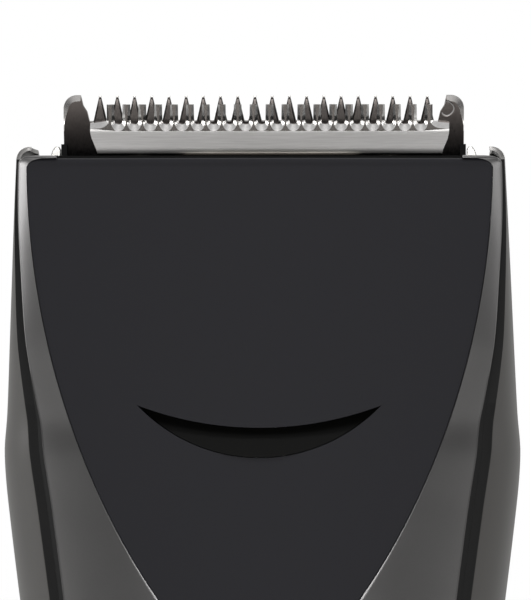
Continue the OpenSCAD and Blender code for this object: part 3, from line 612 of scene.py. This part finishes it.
def comb_ear(build, side):
    """Shouldered ear. The ground bevel round its outer top thins out down the side."""
    r, top = 1.35, TOOTH_LEN
    turn = np.radians(np.linspace(0, 90, 16))
    arc = [(EAR_HALF - r + r * math.sin(t), top - r + r * math.cos(t)) for t in turn]
    edge = [(EAR_HALF, u) for u in np.linspace(top - r, -0.9, 12)[1:]]
    inner = [(17.7, 0.4 - ROOT), (17.9, -0.4), (18.0, 0.0), (18.25, 1.06), (18.65, 1.71)]
    loop = np.array([(18.9, top)] + arc + edge + [(EAR_HALF - 0.05, 0.4 - ROOT)] + inner)
    along = np.roll(loop, -1, 0) - np.roll(loop, 1, 0)
    inward = np.stack([along[:, 1], -along[:, 0]], 1)
    inward /= np.linalg.norm(inward, axis=1)[:, None]
    width = np.full(len(loop), 0.03)
    ground = 1 + len(arc) + len(edge)
    width[:ground] = 0.05 + 0.5 * smooth((loop[:ground, 1] + 0.5) / 2.6)
    face = loop + inward * width[:, None]
    face[0] = (18.93, top - 0.5)
    drop = 0.05 + np.minimum(0.45 * width, 0.3)
    rings = []
    for ring, out in ((loop, np.zeros(len(loop))), (loop, COMB_T - drop), (face, np.full(len(loop), COMB_T))):
        rings.append(np.stack([side * ring[:, 0], ROOT + ring[:, 1], out], 1))
    points = blade(np.array(rings))
    build.grid(points[:2], side < 0, wrap=True)
    build.grid(points[1:, :ground], side < 0, kind=1)
    build.grid(points[1:, ground - 1 :], side < 0)
    build.grid(points[1:, [-1, 0]], side < 0)
    build.face(points[2] if side < 0 else points[2][::-1])
    build.face(points[0] if side > 0 else points[0][::-1])


def hollow_facet(build):
    """Shallow hollow ground into the inner shoulder of the right ear, with a raised lip round it."""
    # Share of the full ring, and how deep it lies
    profile = [(1.0, 0.0), (1.0, -0.03), (0.93, -0.035), (0.9, 0.0), (0.7, 0.07), (0.45, 0.12), (0.2, 0.15),
               (0.01, 0.155)]
    lip_rows = 4
    rows = []
    for share, sunk in profile:
        ring = []
        for a in np.linspace(0, 2 * math.pi, 41)[:-1]:
            x = 18.92 + (0.78 + 0.12 * math.cos(2 * a)) * share * math.cos(a)
            up = 1.45 + 0.9 * share * math.sin(a)
            ear_side = 18.02 + 0.88 * float(np.clip(up / TOOTH_LEN, 0, 1)) + 0.06
            ring.append((max(x, ear_side), ROOT + up, COMB_T + 0.012 - sunk * 0.25))
        rows.append(ring)
    build.grid(blade(rows[:lip_rows]), True, wrap=True)
    build.grid(blade(rows[lip_rows - 1 :]), True, wrap=True, kind=2)


def comb_gap(build, x):
    """Rounded bottom of the gap between two comb teeth."""
    half, inset = 0.3, 0.01
    turn = np.linspace(0, math.pi, 9)
    arc = [(x - half * math.cos(a), ROOT + half - 0.2 * math.sin(a)) for a in turn]
    low = [(x - half * math.cos(a), ROOT - 0.2) for a in turn]
    rows = ((low, COMB_T - inset), (arc, COMB_T - inset), (arc, 2 * inset), (low, 2 * inset))
    build.grid(blade([[(across, u, out) for across, u in row] for row, out in rows]))


def fixed_comb(steel, ground, hollow, teeth):
    """Comb plate, its twenty teeth and two ears."""
    build = Build()
    hollow_facet(build)
    for k in range(COMB_TEETH):
        comb_tooth(build, (k - (COMB_TEETH - 1) / 2) * COMB_PITCH)
    for side in (-1, 1):
        comb_ear(build, side)
    w = 18.6
    ring = [(-w, 0.4), (w, 0.4), (w, ROOT + 0.05), (-w, ROOT + 0.05)]
    plate = blade([[(x, u, out) for x, u in ring] for out in (0.01, COMB_T - 0.01)])
    build.grid(plate, wrap=True)
    build.face(plate[1])
    build.face(plate[0][::-1])
    for k in range(COMB_TEETH - 1):
        comb_gap(build, (k - (COMB_TEETH - 2) / 2) * COMB_PITCH)
    return build.object("fixed_comb_blade", [steel, ground, hollow, teeth], sharp=25)


def cutter_points(rows):
    """Blade points of the cutter, moved to where it rests and out in front of the comb."""
    return blade(np.array(rows) + [CUTTER_OFFSET, 0, COMB_T + BLADE_GAP])


def face_out(u):
    """How far out the inclined face of the cutter's teeth stands at height u."""
    share = np.clip((CUTTER_TIP - u) / (CUTTER_TIP - CUTTER_CREASE), 0, 1)
    return CUTTER_TIP_T + (CUTTER_T - CUTTER_TIP_T) * share


def half_valley(centre, side):
    """Half a U-shaped valley, from the tip down: its back edge, the top of its wall and its chamfered rim."""
    half, tip_half, bottom, top = 0.40, 0.43, CUTTER_TIP - 2.14, CUTTER_TIP - 0.06
    down = np.linspace(0, 1, VALLEY_STEPS)
    turn = np.linspace(0, math.pi / 2, VALLEY_STEPS)[1:]
    across = np.concatenate([tip_half + (half - tip_half) * down, half * np.cos(turn)])
    up = np.concatenate([top + (bottom + half - top) * down, bottom + half * (1 - np.sin(turn))])
    wall = face_out(up) - 0.14 - 0.26 * smooth((CUTTER_TIP - 1.2 - up) / 0.9)
    # The rim widens down the tooth, then rounds out to its lowest point
    rim_turn, rim_low = 1.75, 2.76
    round_half = CUTTER_PITCH / 2 * 0.93
    rim_across = np.concatenate([np.linspace(0.60, 0.745, VALLEY_STEPS), round_half * np.cos(turn) ** 0.8])
    rim_round = rim_turn + (rim_low - rim_turn) * np.sin(turn) ** 1.15
    rim_up = CUTTER_TIP - np.concatenate([np.linspace(0.02, rim_turn, VALLEY_STEPS), rim_round])
    return [np.stack([centre + side * across, up, np.zeros(len(up))], 1),
            np.stack([centre + side * across, up, wall], 1),
            np.stack([centre + side * rim_across, rim_up, face_out(rim_up)], 1)]


def end_valley(x, side):
    """Outer edge of the outermost tooth, swept out to the bar's shoulder: the same rows as a half valley."""
    t = np.linspace(0, 1, 2 * VALLEY_STEPS - 1)
    # Down the tooth, round the fillet, then level out to the bar's end
    turn = np.clip((t - 0.5) / 0.5, 0, 1)
    reach, shoulder = BAR_HALF - abs(x), CUTTER_TIP - 1.7
    across = np.where(t < 0.5, 0.39 + 0.02 * t, 0.40 + (reach - 0.40) * smooth(turn))
    up = np.where(t < 0.5, CUTTER_TIP - 0.06 + (shoulder - CUTTER_TIP) * t / 0.5,
                  shoulder - 0.29 * np.sin(turn * math.pi / 2))
    rim_across = np.clip(across - 0.2 - 0.1 * t, 0.2, None)
    rim_across[-1] = reach
    rim_up = np.where(t < 0.5, up, up - 0.55 * smooth((t - 0.45) / 0.3))
    rim_up = np.minimum(rim_up, CUTTER_TIP - 0.02)
    return [np.stack([x + side * across, up, np.zeros(len(t))], 1),
            np.stack([x + side * across, up, face_out(up) - 0.3], 1),
            np.stack([x + side * rim_across, rim_up, face_out(rim_up)], 1)]


def cutter_tooth(build, left, right):
    """One tooth between its two half valleys: their walls and rims, its face, its tip and its back."""
    for rows, flip in ((left, False), (right, True)):
        build.grid(cutter_points(rows[:2]), flip, kind=1)
        build.grid(cutter_points(rows[1:]), flip, kind=2)
    build.grid(cutter_points([left[2], right[2]]), kind=3)
    tip = [left[2][0], right[2][0], right[1][0], right[0][0], left[0][0], left[1][0]]
    build.face(cutter_points(tip), kind=2)
    build.grid(cutter_points([left[0], right[0]]), True, kind=1)


def bar_side(u):
    """Half width of the cutter's bar at height u: an S-curve in from its upper corner."""
    return BAR_HALF - 0.75 * float(smooth((11.2 - u) / 2.7))


def bar_profile():
    """Height and set-back of the rows down the bar's face, whose lower edge is rolled back."""
    flat = [(u, 0) for u in (CUTTER_CREASE, CUTTER_CREASE - 0.05, 10.9, 10.4, 9.9, 9.5)]
    turn = np.radians(np.linspace(0, 90, 9))
    roll = [(9.3 - 0.8 * math.sin(a), BAR_ROLL * (1 - math.cos(a))) for a in turn]
    return flat + roll + [(BAR_LOW, BAR_ROLL)]


def bar_stretch(build, left, right, at_left_end, at_right_end):
    """The bar's face below one tooth, from the lowest points of the rims beside it."""
    columns = []
    for top, at_end in ((left, at_left_end), (right, at_right_end)):
        column = [tuple(top)]
        for u, back in bar_profile():
            x = math.copysign(bar_side(u), top[0]) if at_end else top[0]
            column.append((x, u, CUTTER_T - back))
        columns.append(column)
    build.grid(cutter_points([column[: BAR_PAINTED_SHADE_ROW + 2] for column in columns]))
    # Rows down the rolled lower edge take the dark face steel: painted shade
    build.grid(cutter_points([column[BAR_PAINTED_SHADE_ROW + 1 :] for column in columns]), kind=3)


def bar_back(build):
    """Ends, lower edge and back of the bar."""
    rows = bar_profile()[::-1]
    for side in (-1, 1):
        inner = [(side * bar_side(u), u, 0.0) for u, _ in rows]
        outer = [(side * bar_side(u), u, CUTTER_T - back) for u, back in rows]
        build.grid(cutter_points([inner, outer]), side > 0, kind=2)
    half = bar_side(BAR_LOW)
    lower = [[(x, BAR_LOW, out) for x in (-half, half)] for out in (0.0, CUTTER_T - BAR_ROLL)]
    build.grid(cutter_points(lower))
    build.grid(cutter_points([[(side * bar_side(u), u, 0.0) for u, _ in rows] for side in (-1, 1)]), True)


def moving_cutter(bar, polished, face):
    """Cutter with squared teeth. Each valley has a chamfered rim, widest at its bottom, over its wall."""
    build = Build()
    for k in range(CUTTER_TEETH):
        x = (k - (CUTTER_TEETH - 1) / 2) * CUTTER_PITCH
        first, last = k == 0, k == CUTTER_TEETH - 1
        left = end_valley(x, -1) if first else half_valley(x - CUTTER_PITCH / 2, 1)
        right = end_valley(x, 1) if last else half_valley(x + CUTTER_PITCH / 2, -1)
        cutter_tooth(build, left, right)
        bar_stretch(build, left[2][-1], right[2][-1], first, last)
    bar_back(build)
    return build.object("moving_cutter_blade", [bar, polished, polished, face], sharp=14, merge=0.0004)


# ---------- materials
def new_material(name):
    """A material with its nodes, its links and its shader."""
    material = bpy.data.materials.new(name)
    material.use_nodes = True
    nodes, links = material.node_tree.nodes, material.node_tree.links
    return material, nodes, links, nodes["Principled BSDF"]


def set_inputs(node, values):
    for name, value in values.items():
        node.inputs[name].default_value = value


def add_node(nodes, kind, values):
    """A new shader node with these inputs set."""
    node = nodes.new("ShaderNode" + kind)
    set_inputs(node, values)
    return node


def coordinates(nodes, links, stretch=(1, 1, 1)):
    """Object coordinates, scaled along each axis."""
    where = nodes.new("ShaderNodeTexCoord")
    mapping = add_node(nodes, "Mapping", {"Scale": stretch})
    links.new(where.outputs["Object"], mapping.inputs["Vector"])
    return mapping.outputs["Vector"]


def noise(nodes, links, vector, scale, detail=3.0):
    node = add_node(nodes, "TexNoise", {"Scale": scale, "Detail": detail, "Roughness": 0.55})
    links.new(vector, node.inputs["Vector"])
    return node.outputs["Fac"]


def ramp(nodes, links, value, stops):
    """Colour that runs through the stops, each a place and a colour."""
    node = nodes.new("ShaderNodeValToRGB")
    elements = node.color_ramp.elements
    while len(elements) < len(stops):
        elements.new(0.5)
    for element, (at, colour) in zip(elements, stops):
        element.position, element.color = at, (*colour, 1.0)
    links.new(value, node.inputs["Fac"])
    return node.outputs["Color"]


def spread_value(nodes, links, value, low, high):
    """0..1 to low..high"""
    node = add_node(nodes, "MapRange", {"To Min": low, "To Max": high})
    links.new(value, node.inputs["Value"])
    return node.outputs["Result"]


def bump(nodes, links, shader, height, strength, distance):
    node = add_node(nodes, "Bump", {"Strength": strength, "Distance": distance})
    links.new(height, node.inputs["Height"])
    links.new(node.outputs["Normal"], shader.inputs["Normal"])


def finish_material(name, base, roughness, metallic=0.0, vary=0.12, scale=2500.0, grain=0.1, depth=0.00002,
                    stretch=(1, 1, 1), specular=0.5, coat=0.0, coat_rough=0.1, rough_vary=0.06):
    """A mottled, grained finish: colour and roughness wander, and a fine relief breaks up the shine."""
    material, nodes, links, shader = new_material(name)
    vector = coordinates(nodes, links, stretch)
    slow = noise(nodes, links, vector, scale * 0.02, 2.0)
    fine = noise(nodes, links, vector, scale, 4.0)
    dark = tuple(c * (1 - vary) for c in base)
    light = tuple(min(c * (1 + vary), 1.0) for c in base)
    mix = nodes.new("ShaderNodeMath")
    mix.operation = "ADD"
    half = add_node(nodes, "Math", {1: 0.5})
    half.operation = "MULTIPLY"
    links.new(slow, mix.inputs[0])
    links.new(fine, mix.inputs[1])
    links.new(mix.outputs[0], half.inputs[0])
    links.new(ramp(nodes, links, half.outputs[0], [(0.3, dark), (0.7, light)]), shader.inputs["Base Color"])
    rough = spread_value(nodes, links, slow, roughness - rough_vary, roughness + rough_vary)
    links.new(rough, shader.inputs["Roughness"])
    bump(nodes, links, shader, fine, grain, depth)
    set_inputs(shader, {"Metallic": metallic, "Specular IOR Level": specular,
                        "Coat Weight": coat, "Coat Roughness": coat_rough})
    return material


# What the paints share, and what the ground steels share
PAINT = dict(vary=0.05, scale=6000, grain=0.05, depth=0.000006, rough_vary=0.02)
STEEL = dict(metallic=1.0, scale=4000, depth=0.000006)


def paint_material():
    base = (0.096, 0.094, 0.094)
    return finish_material("flank_paint", base, 0.3, metallic=0.85, coat=0.1, coat_rough=0.15, **PAINT)


def side_material():
    return finish_material("side_paint", (0.040, 0.038, 0.036), 0.42, metallic=0.3, specular=0.35, **PAINT)


def lip_material():
    return finish_material("lip_paint", (0.2, 0.195, 0.19), 0.38, metallic=0.8, **PAINT)


def panel_material():
    moulded = dict(PAINT, scale=9000, grain=0.12)
    return finish_material("panel_plastic", (0.0101, 0.01, 0.0124), 0.6, specular=0.13, **moulded)


def black_material():
    base = (0.007, 0.007, 0.007)
    return finish_material("black_plastic", base, 0.6, vary=0.15, scale=5000, depth=0.00001, specular=0.12)


def rubber_material():
    """Black rubber with a fine cell pattern."""
    material, nodes, links, shader = new_material("grip_rubber")
    vector = coordinates(nodes, links)
    fine = noise(nodes, links, vector, 3500, 3.0)
    cells = add_node(nodes, "TexVoronoi", {"Scale": 700})
    links.new(vector, cells.inputs["Vector"])
    stops = [(0.3, (0.011, 0.011, 0.011)), (0.7, (0.018, 0.018, 0.018))]
    links.new(ramp(nodes, links, fine, stops), shader.inputs["Base Color"])
    links.new(spread_value(nodes, links, fine, 0.62, 0.78), shader.inputs["Roughness"])
    bump(nodes, links, shader, cells.outputs["Distance"], 0.35, 0.00012)
    set_inputs(shader, {"Specular IOR Level": 0.35})
    return material


def crescent_material():
    return finish_material("crescent_gloss", (0.002, 0.002, 0.0018), 0.28, vary=0.1, scale=900, grain=0.04,
                           depth=0.00001, specular=0.07)


def bar_material():
    """Ground steel bar with fine lengthwise scratches."""
    material, nodes, links, shader = new_material("cutter_bar_steel")
    vector = coordinates(nodes, links, (0.03, 1, 1))
    fine = noise(nodes, links, vector, 9000, 5.0)
    slow = noise(nodes, links, coordinates(nodes, links, (0.3, 1, 1)), 400, 2.0)
    stops = [(0.3, (0.72, 0.705, 0.69)), (0.7, (0.86, 0.845, 0.83))]
    links.new(ramp(nodes, links, fine, stops), shader.inputs["Base Color"])
    links.new(spread_value(nodes, links, slow, 0.40, 0.50), shader.inputs["Roughness"])
    bump(nodes, links, shader, fine, 0.12, 0.000006)
    set_inputs(shader, {"Metallic": 1.0, "Anisotropic": 0.4})
    return material


def polished_material():
    """Ground rims and tips of the cutter's teeth."""
    base = (0.62, 0.61, 0.60)
    return finish_material("cutter_tooth_steel", base, 0.2, grain=0.15, rough_vary=0.05, **STEEL)


def painted_dark_steel_material():
    """Flat of a cutter tooth, much darker than its ground rims: painted reflection of the dark space in
    front. The bar's rolled lower edge takes it too, as painted shade.
    """
    base = (0.05, 0.046, 0.043)
    return finish_material("cutter_face_steel", base, 0.25, vary=0.2, grain=0.15, rough_vary=0.05, **STEEL)


def comb_material():
    """Brownish steel of the comb's ears, with painted shade that turns it nearly black towards the head."""
    material, nodes, links, shader = new_material("comb_steel")
    vector = coordinates(nodes, links, (1, 1, 0.4))
    fine = noise(nodes, links, vector, 7000, 4.0)
    split = nodes.new("ShaderNodeSeparateXYZ")
    links.new(coordinates(nodes, links), split.inputs[0])
    # Painted shade: below this height band the colour ramps to near black, standing in for the dark deck
    # reflected in the ears
    painted_shade_z, shade_end_z = 0.1705, 0.1757
    height = add_node(nodes, "MapRange", {"From Min": painted_shade_z, "From Max": shade_end_z})
    links.new(split.outputs["Z"], height.inputs["Value"])
    mottle_and_painted_shade = add_node(nodes, "Math", {1: 0.25})
    mottle_and_painted_shade.operation = "MULTIPLY_ADD"
    links.new(fine, mottle_and_painted_shade.inputs[0])
    links.new(height.outputs["Result"], mottle_and_painted_shade.inputs[2])
    stops = [(0.1, (0.006, 0.0058, 0.006)), (1.0, (0.105, 0.092, 0.086))]
    links.new(ramp(nodes, links, mottle_and_painted_shade.outputs[0], stops), shader.inputs["Base Color"])
    links.new(spread_value(nodes, links, fine, 0.24, 0.36), shader.inputs["Roughness"])
    bump(nodes, links, shader, fine, 0.2, 0.000008)
    set_inputs(shader, {"Metallic": 0.9, "Specular IOR Level": 0.2})
    return material


def comb_tooth_material():
    return finish_material("comb_tooth_steel", (0.034, 0.030, 0.028), 0.24, metallic=0.9, vary=0.25,
                           scale=7000, grain=0.2, depth=0.000008, stretch=(1, 1, 0.4))


def hollow_material():
    return finish_material("comb_hollow_steel", (0.30, 0.29, 0.285), 0.5, metallic=0.5, vary=0.15, scale=3000,
                           grain=0.15, depth=0.000006, stretch=(1, 1, 0.3))


def comb_bevel_material():
    return finish_material("comb_bevel_steel", (0.62, 0.60, 0.58), 0.25, grain=0.12, **STEEL)


def plain_materials():
    """Finishes of the CAD nodes that show as they are, and of the parts inside."""
    steel = dict(STEEL, scale=5000)
    strands = dict(scale=3000, grain=0.5, stretch=(1, 1, 0.1))
    # Slot, name, colour, roughness and what differs from the usual finish
    table = [
        ("foot", "foot_rubber", (0.014, 0.014, 0.014), 0.75, dict(scale=1500, grain=0.3)),
        ("socket", "socket_plastic", (0.012, 0.012, 0.012), 0.4, {}),
        ("contact", "contact_plating", (0.80, 0.62, 0.28), 0.2, steel),
        ("screw", "screw_zinc", (0.50, 0.49, 0.47), 0.3, steel),
        ("light_pipe", "lamp_lens", (0.45, 0.62, 0.45), 0.12, dict(coat=0.5)),
        ("board", "board_mask", (0.008, 0.07, 0.025), 0.35, dict(scale=900)),
        ("chips", "chip_epoxy", (0.012, 0.012, 0.012), 0.5, {}),
        ("switch", "switch_plastic", (0.03, 0.03, 0.03), 0.45, {}),
        ("cell", "cell_sleeve", (0.02, 0.1, 0.3), 0.25, dict(scale=600)),
        ("strap", "strap_nickel", (0.62, 0.60, 0.55), 0.28, steel),
        ("cradle", "cradle_plastic", (0.016, 0.016, 0.017), 0.55, {}),
        ("motor_steel", "motor_steel", (0.56, 0.56, 0.55), 0.3, steel),
        ("magnet", "magnet_ferrite", (0.03, 0.028, 0.027), 0.6, {}),
        ("copper", "bare_copper", (0.65, 0.28, 0.14), 0.28, steel),
        ("winding", "winding_enamel", (0.32, 0.10, 0.035), 0.25, strands),
        ("lead", "lead_insulation", (0.30, 0.018, 0.014), 0.45, {}),
        ("cam", "cam_metal", (0.45, 0.45, 0.44), 0.3, steel),
        ("acetal", "acetal", (0.70, 0.67, 0.60), 0.4, {}),
        ("bush", "bush_bronze", (0.55, 0.36, 0.13), 0.4, steel),
        ("slider", "slider_plastic", (0.013, 0.013, 0.0135), 0.4, dict(specular=0.4)),
        ("head", "head_plastic", (0.004, 0.004, 0.004), 0.6, dict(specular=0.08)),
        ("spring_steel", "spring_steel", (0.26, 0.255, 0.245), 0.34, steel),
    ]
    finishes = {"crescent": crescent_material()}
    for slot, name, base, roughness, rest in table:
        finishes[slot] = finish_material(name, base, roughness, **rest)
    return finishes


# ---------- dressing the frame
def dress_nodes(finishes):
    """CAD nodes that show as they are get their finish and a small bevel on hard edges."""
    slots = {s["node"]: s["material_slot"] for s in frame["record"]["subparts"]}
    # Bevel widths in millimetres
    bevels = {"head_frame": 0.05, "power_slider": 0.3, "base_foot": 0.3, "spring_tabs": 0.07,
              "case_screws": 0.08, "charge_socket": 0.12, "cutter_carrier": 0.15, "comb_screws": 0.06,
              "pressure_spring": 0.04}
    for name, obj in frame["nodes"].items():
        finish = finishes.get(slots[name])
        if obj.hide_render or finish is None:
            continue
        obj.data.materials.clear()
        obj.data.materials.append(finish)
        if name in bevels:
            weld = obj.modifiers.new("weld", "WELD")
            weld.merge_threshold = 0.000002
            bevel = obj.modifiers.new("bevel", "BEVEL")
            bevel.width, bevel.segments, bevel.limit_method = bevels[name] * MM, 2, "ANGLE"
            bevel.angle_limit = math.radians(40)


def build_clipper():
    """All visible pieces, each in the place of its CAD node."""
    paint, side_paint, panel, black = paint_material(), side_material(), panel_material(), black_material()
    rubber, comb_steel, bevel_steel = rubber_material(), comb_material(), comb_bevel_material()
    place(front_shell(paint, black), "housing", "front_shell", "front_shell")
    place(front_panel(panel), "housing", "front_panel", "front_panel")
    place(rear_shell(side_paint, black, lip_material()), "housing", "rear_shell", "rear_shell")
    place(comb_rail(-1, black), "housing", "rail", "comb_rail_left")
    place(comb_rail(1, black), "housing", "rail", "comb_rail_right")
    place(grip(-1, rubber), "housing", "grip", "grip_left")
    place(grip(1, rubber), "housing", "grip", "grip_right")
    place(base_cap(panel), "housing", "base_cap", "base_cap")
    comb = fixed_comb(comb_steel, bevel_steel, hollow_material(), comb_tooth_material())
    place(comb, "head", "comb_steel", "fixed_comb")
    cutter = moving_cutter(bar_material(), polished_material(), painted_dark_steel_material())
    place(cutter, "cutter", "cutter_steel", "moving_cutter")
    dress_nodes(plain_materials())


# ---------- studio
def spread_from(nodes, links, value):
    """-1..1 to 0..1"""
    node = add_node(nodes, "MapRange", {"From Min": -1.0, "From Max": 1.0})
    links.new(value, node.inputs["Value"])
    return node.outputs["Result"]


def surroundings():
    """Plain white to the camera. As light they are bright behind, beside and above, and dark in front."""
    world = bpy.data.worlds.new("studio")
    bpy.context.scene.world = world
    world.use_nodes = True
    nodes, links = world.node_tree.nodes, world.node_tree.links
    nodes.clear()
    out = nodes.new("ShaderNodeOutputWorld")
    mix = nodes.new("ShaderNodeMixShader")
    path = nodes.new("ShaderNodeLightPath")
    seen = add_node(nodes, "Background", {"Color": (1, 1, 1, 1), "Strength": 1.0})
    lighting = add_node(nodes, "Background", {"Strength": 0.85})
    where = nodes.new("ShaderNodeTexCoord")
    split = nodes.new("ShaderNodeSeparateXYZ")
    links.new(where.outputs["Generated"], split.inputs[0])
    # From in front of the object to behind it
    round_about = [(0.0, (0.07, 0.07, 0.075)), (0.18, (0.10, 0.10, 0.105)), (0.30, (0.24, 0.24, 0.24)),
                   (0.42, (0.60, 0.60, 0.60)), (0.7, (0.95, 0.95, 0.94)), (1.0, (0.8, 0.8, 0.78))]
    shade = ramp(nodes, links, spread_from(nodes, links, split.outputs["Y"]), round_about)
    links.new(shade, lighting.inputs["Color"])
    ceiling = add_node(nodes, "Background", {"Strength": 0.8})
    both = nodes.new("ShaderNodeAddShader")
    upward = [(0.15, (0, 0, 0)), (0.7, (0.8, 0.8, 0.8)), (1.0, (1, 1, 1))]
    above = ramp(nodes, links, split.outputs["Z"], upward)
    links.new(above, ceiling.inputs["Color"])
    links.new(lighting.outputs[0], both.inputs[0])
    links.new(ceiling.outputs[0], both.inputs[1])
    links.new(path.outputs["Is Camera Ray"], mix.inputs[0])
    links.new(both.outputs[0], mix.inputs[1])
    links.new(seen.outputs[0], mix.inputs[2])
    links.new(mix.outputs[0], out.inputs[0])


def paper_floor():
    """Wide round sheet of pale paper under the clipper."""
    base = (0.80, 0.80, 0.79)
    paper = finish_material("floor_paper", base, 0.7, vary=0.02, scale=300, grain=0.05, specular=0.2)
    radius, level, steps = 1000, -0.05, 96
    build = Build()
    turn = 2 * math.pi * np.arange(steps) / steps
    build.face([(radius * math.cos(a), radius * math.sin(a), level) for a in turn])
    return build.object("studio_floor", [paper])


def box_light(name, at, size, power):
    """Soft box in metres and watts, aimed at the clipper's head."""
    data = bpy.data.lights.new(name, "AREA")
    data.shape, data.size, data.size_y = "RECTANGLE", size[0], size[1]
    data.energy = power
    light = add_object(name, data)
    light.location = at
    light.rotation_euler = (Vector((0, 0, 0.165)) - Vector(at)).to_track_quat("-Z", "Y").to_euler()


def studio():
    """Surroundings, floor and soft boxes."""
    settings = bpy.context.scene.view_settings
    settings.view_transform, settings.look = "Standard", "None"
    surroundings()
    floor = paper_floor()
    box_light("soft_left", (-0.69, 0.06, 0.27), (0.18, 0.28), 1.8)
    box_light("soft_right", (0.69, 0.0, 0.27), (0.18, 0.28), 0.6)
    box_light("overhead", (0, -0.25, 0.8), (0.4, 0.12), 2.2)
    box_light("frontal", (0, -1.1, 0.2), (0.3, 0.25), 4.6)


def camera():
    """Long lens, level with the housing's upper part and a little to its right."""
    data = bpy.data.cameras.new("camera")
    obj = add_object("camera", data)
    azimuth, distance = math.radians(1.6), 0.6
    target = Vector((0.0004, -0.004, 0.1552))
    back = Vector((math.sin(azimuth), -math.cos(azimuth), 0))
    obj.location = target + back * distance
    obj.rotation_euler = (-back).to_track_quat("-Z", "Y").to_euler()
    data.sensor_width, data.lens = 36.0, 352.4
    data.clip_start, data.clip_end = 0.02, 20.0
    bpy.context.scene.camera = obj


build_clipper()
studio()
camera()
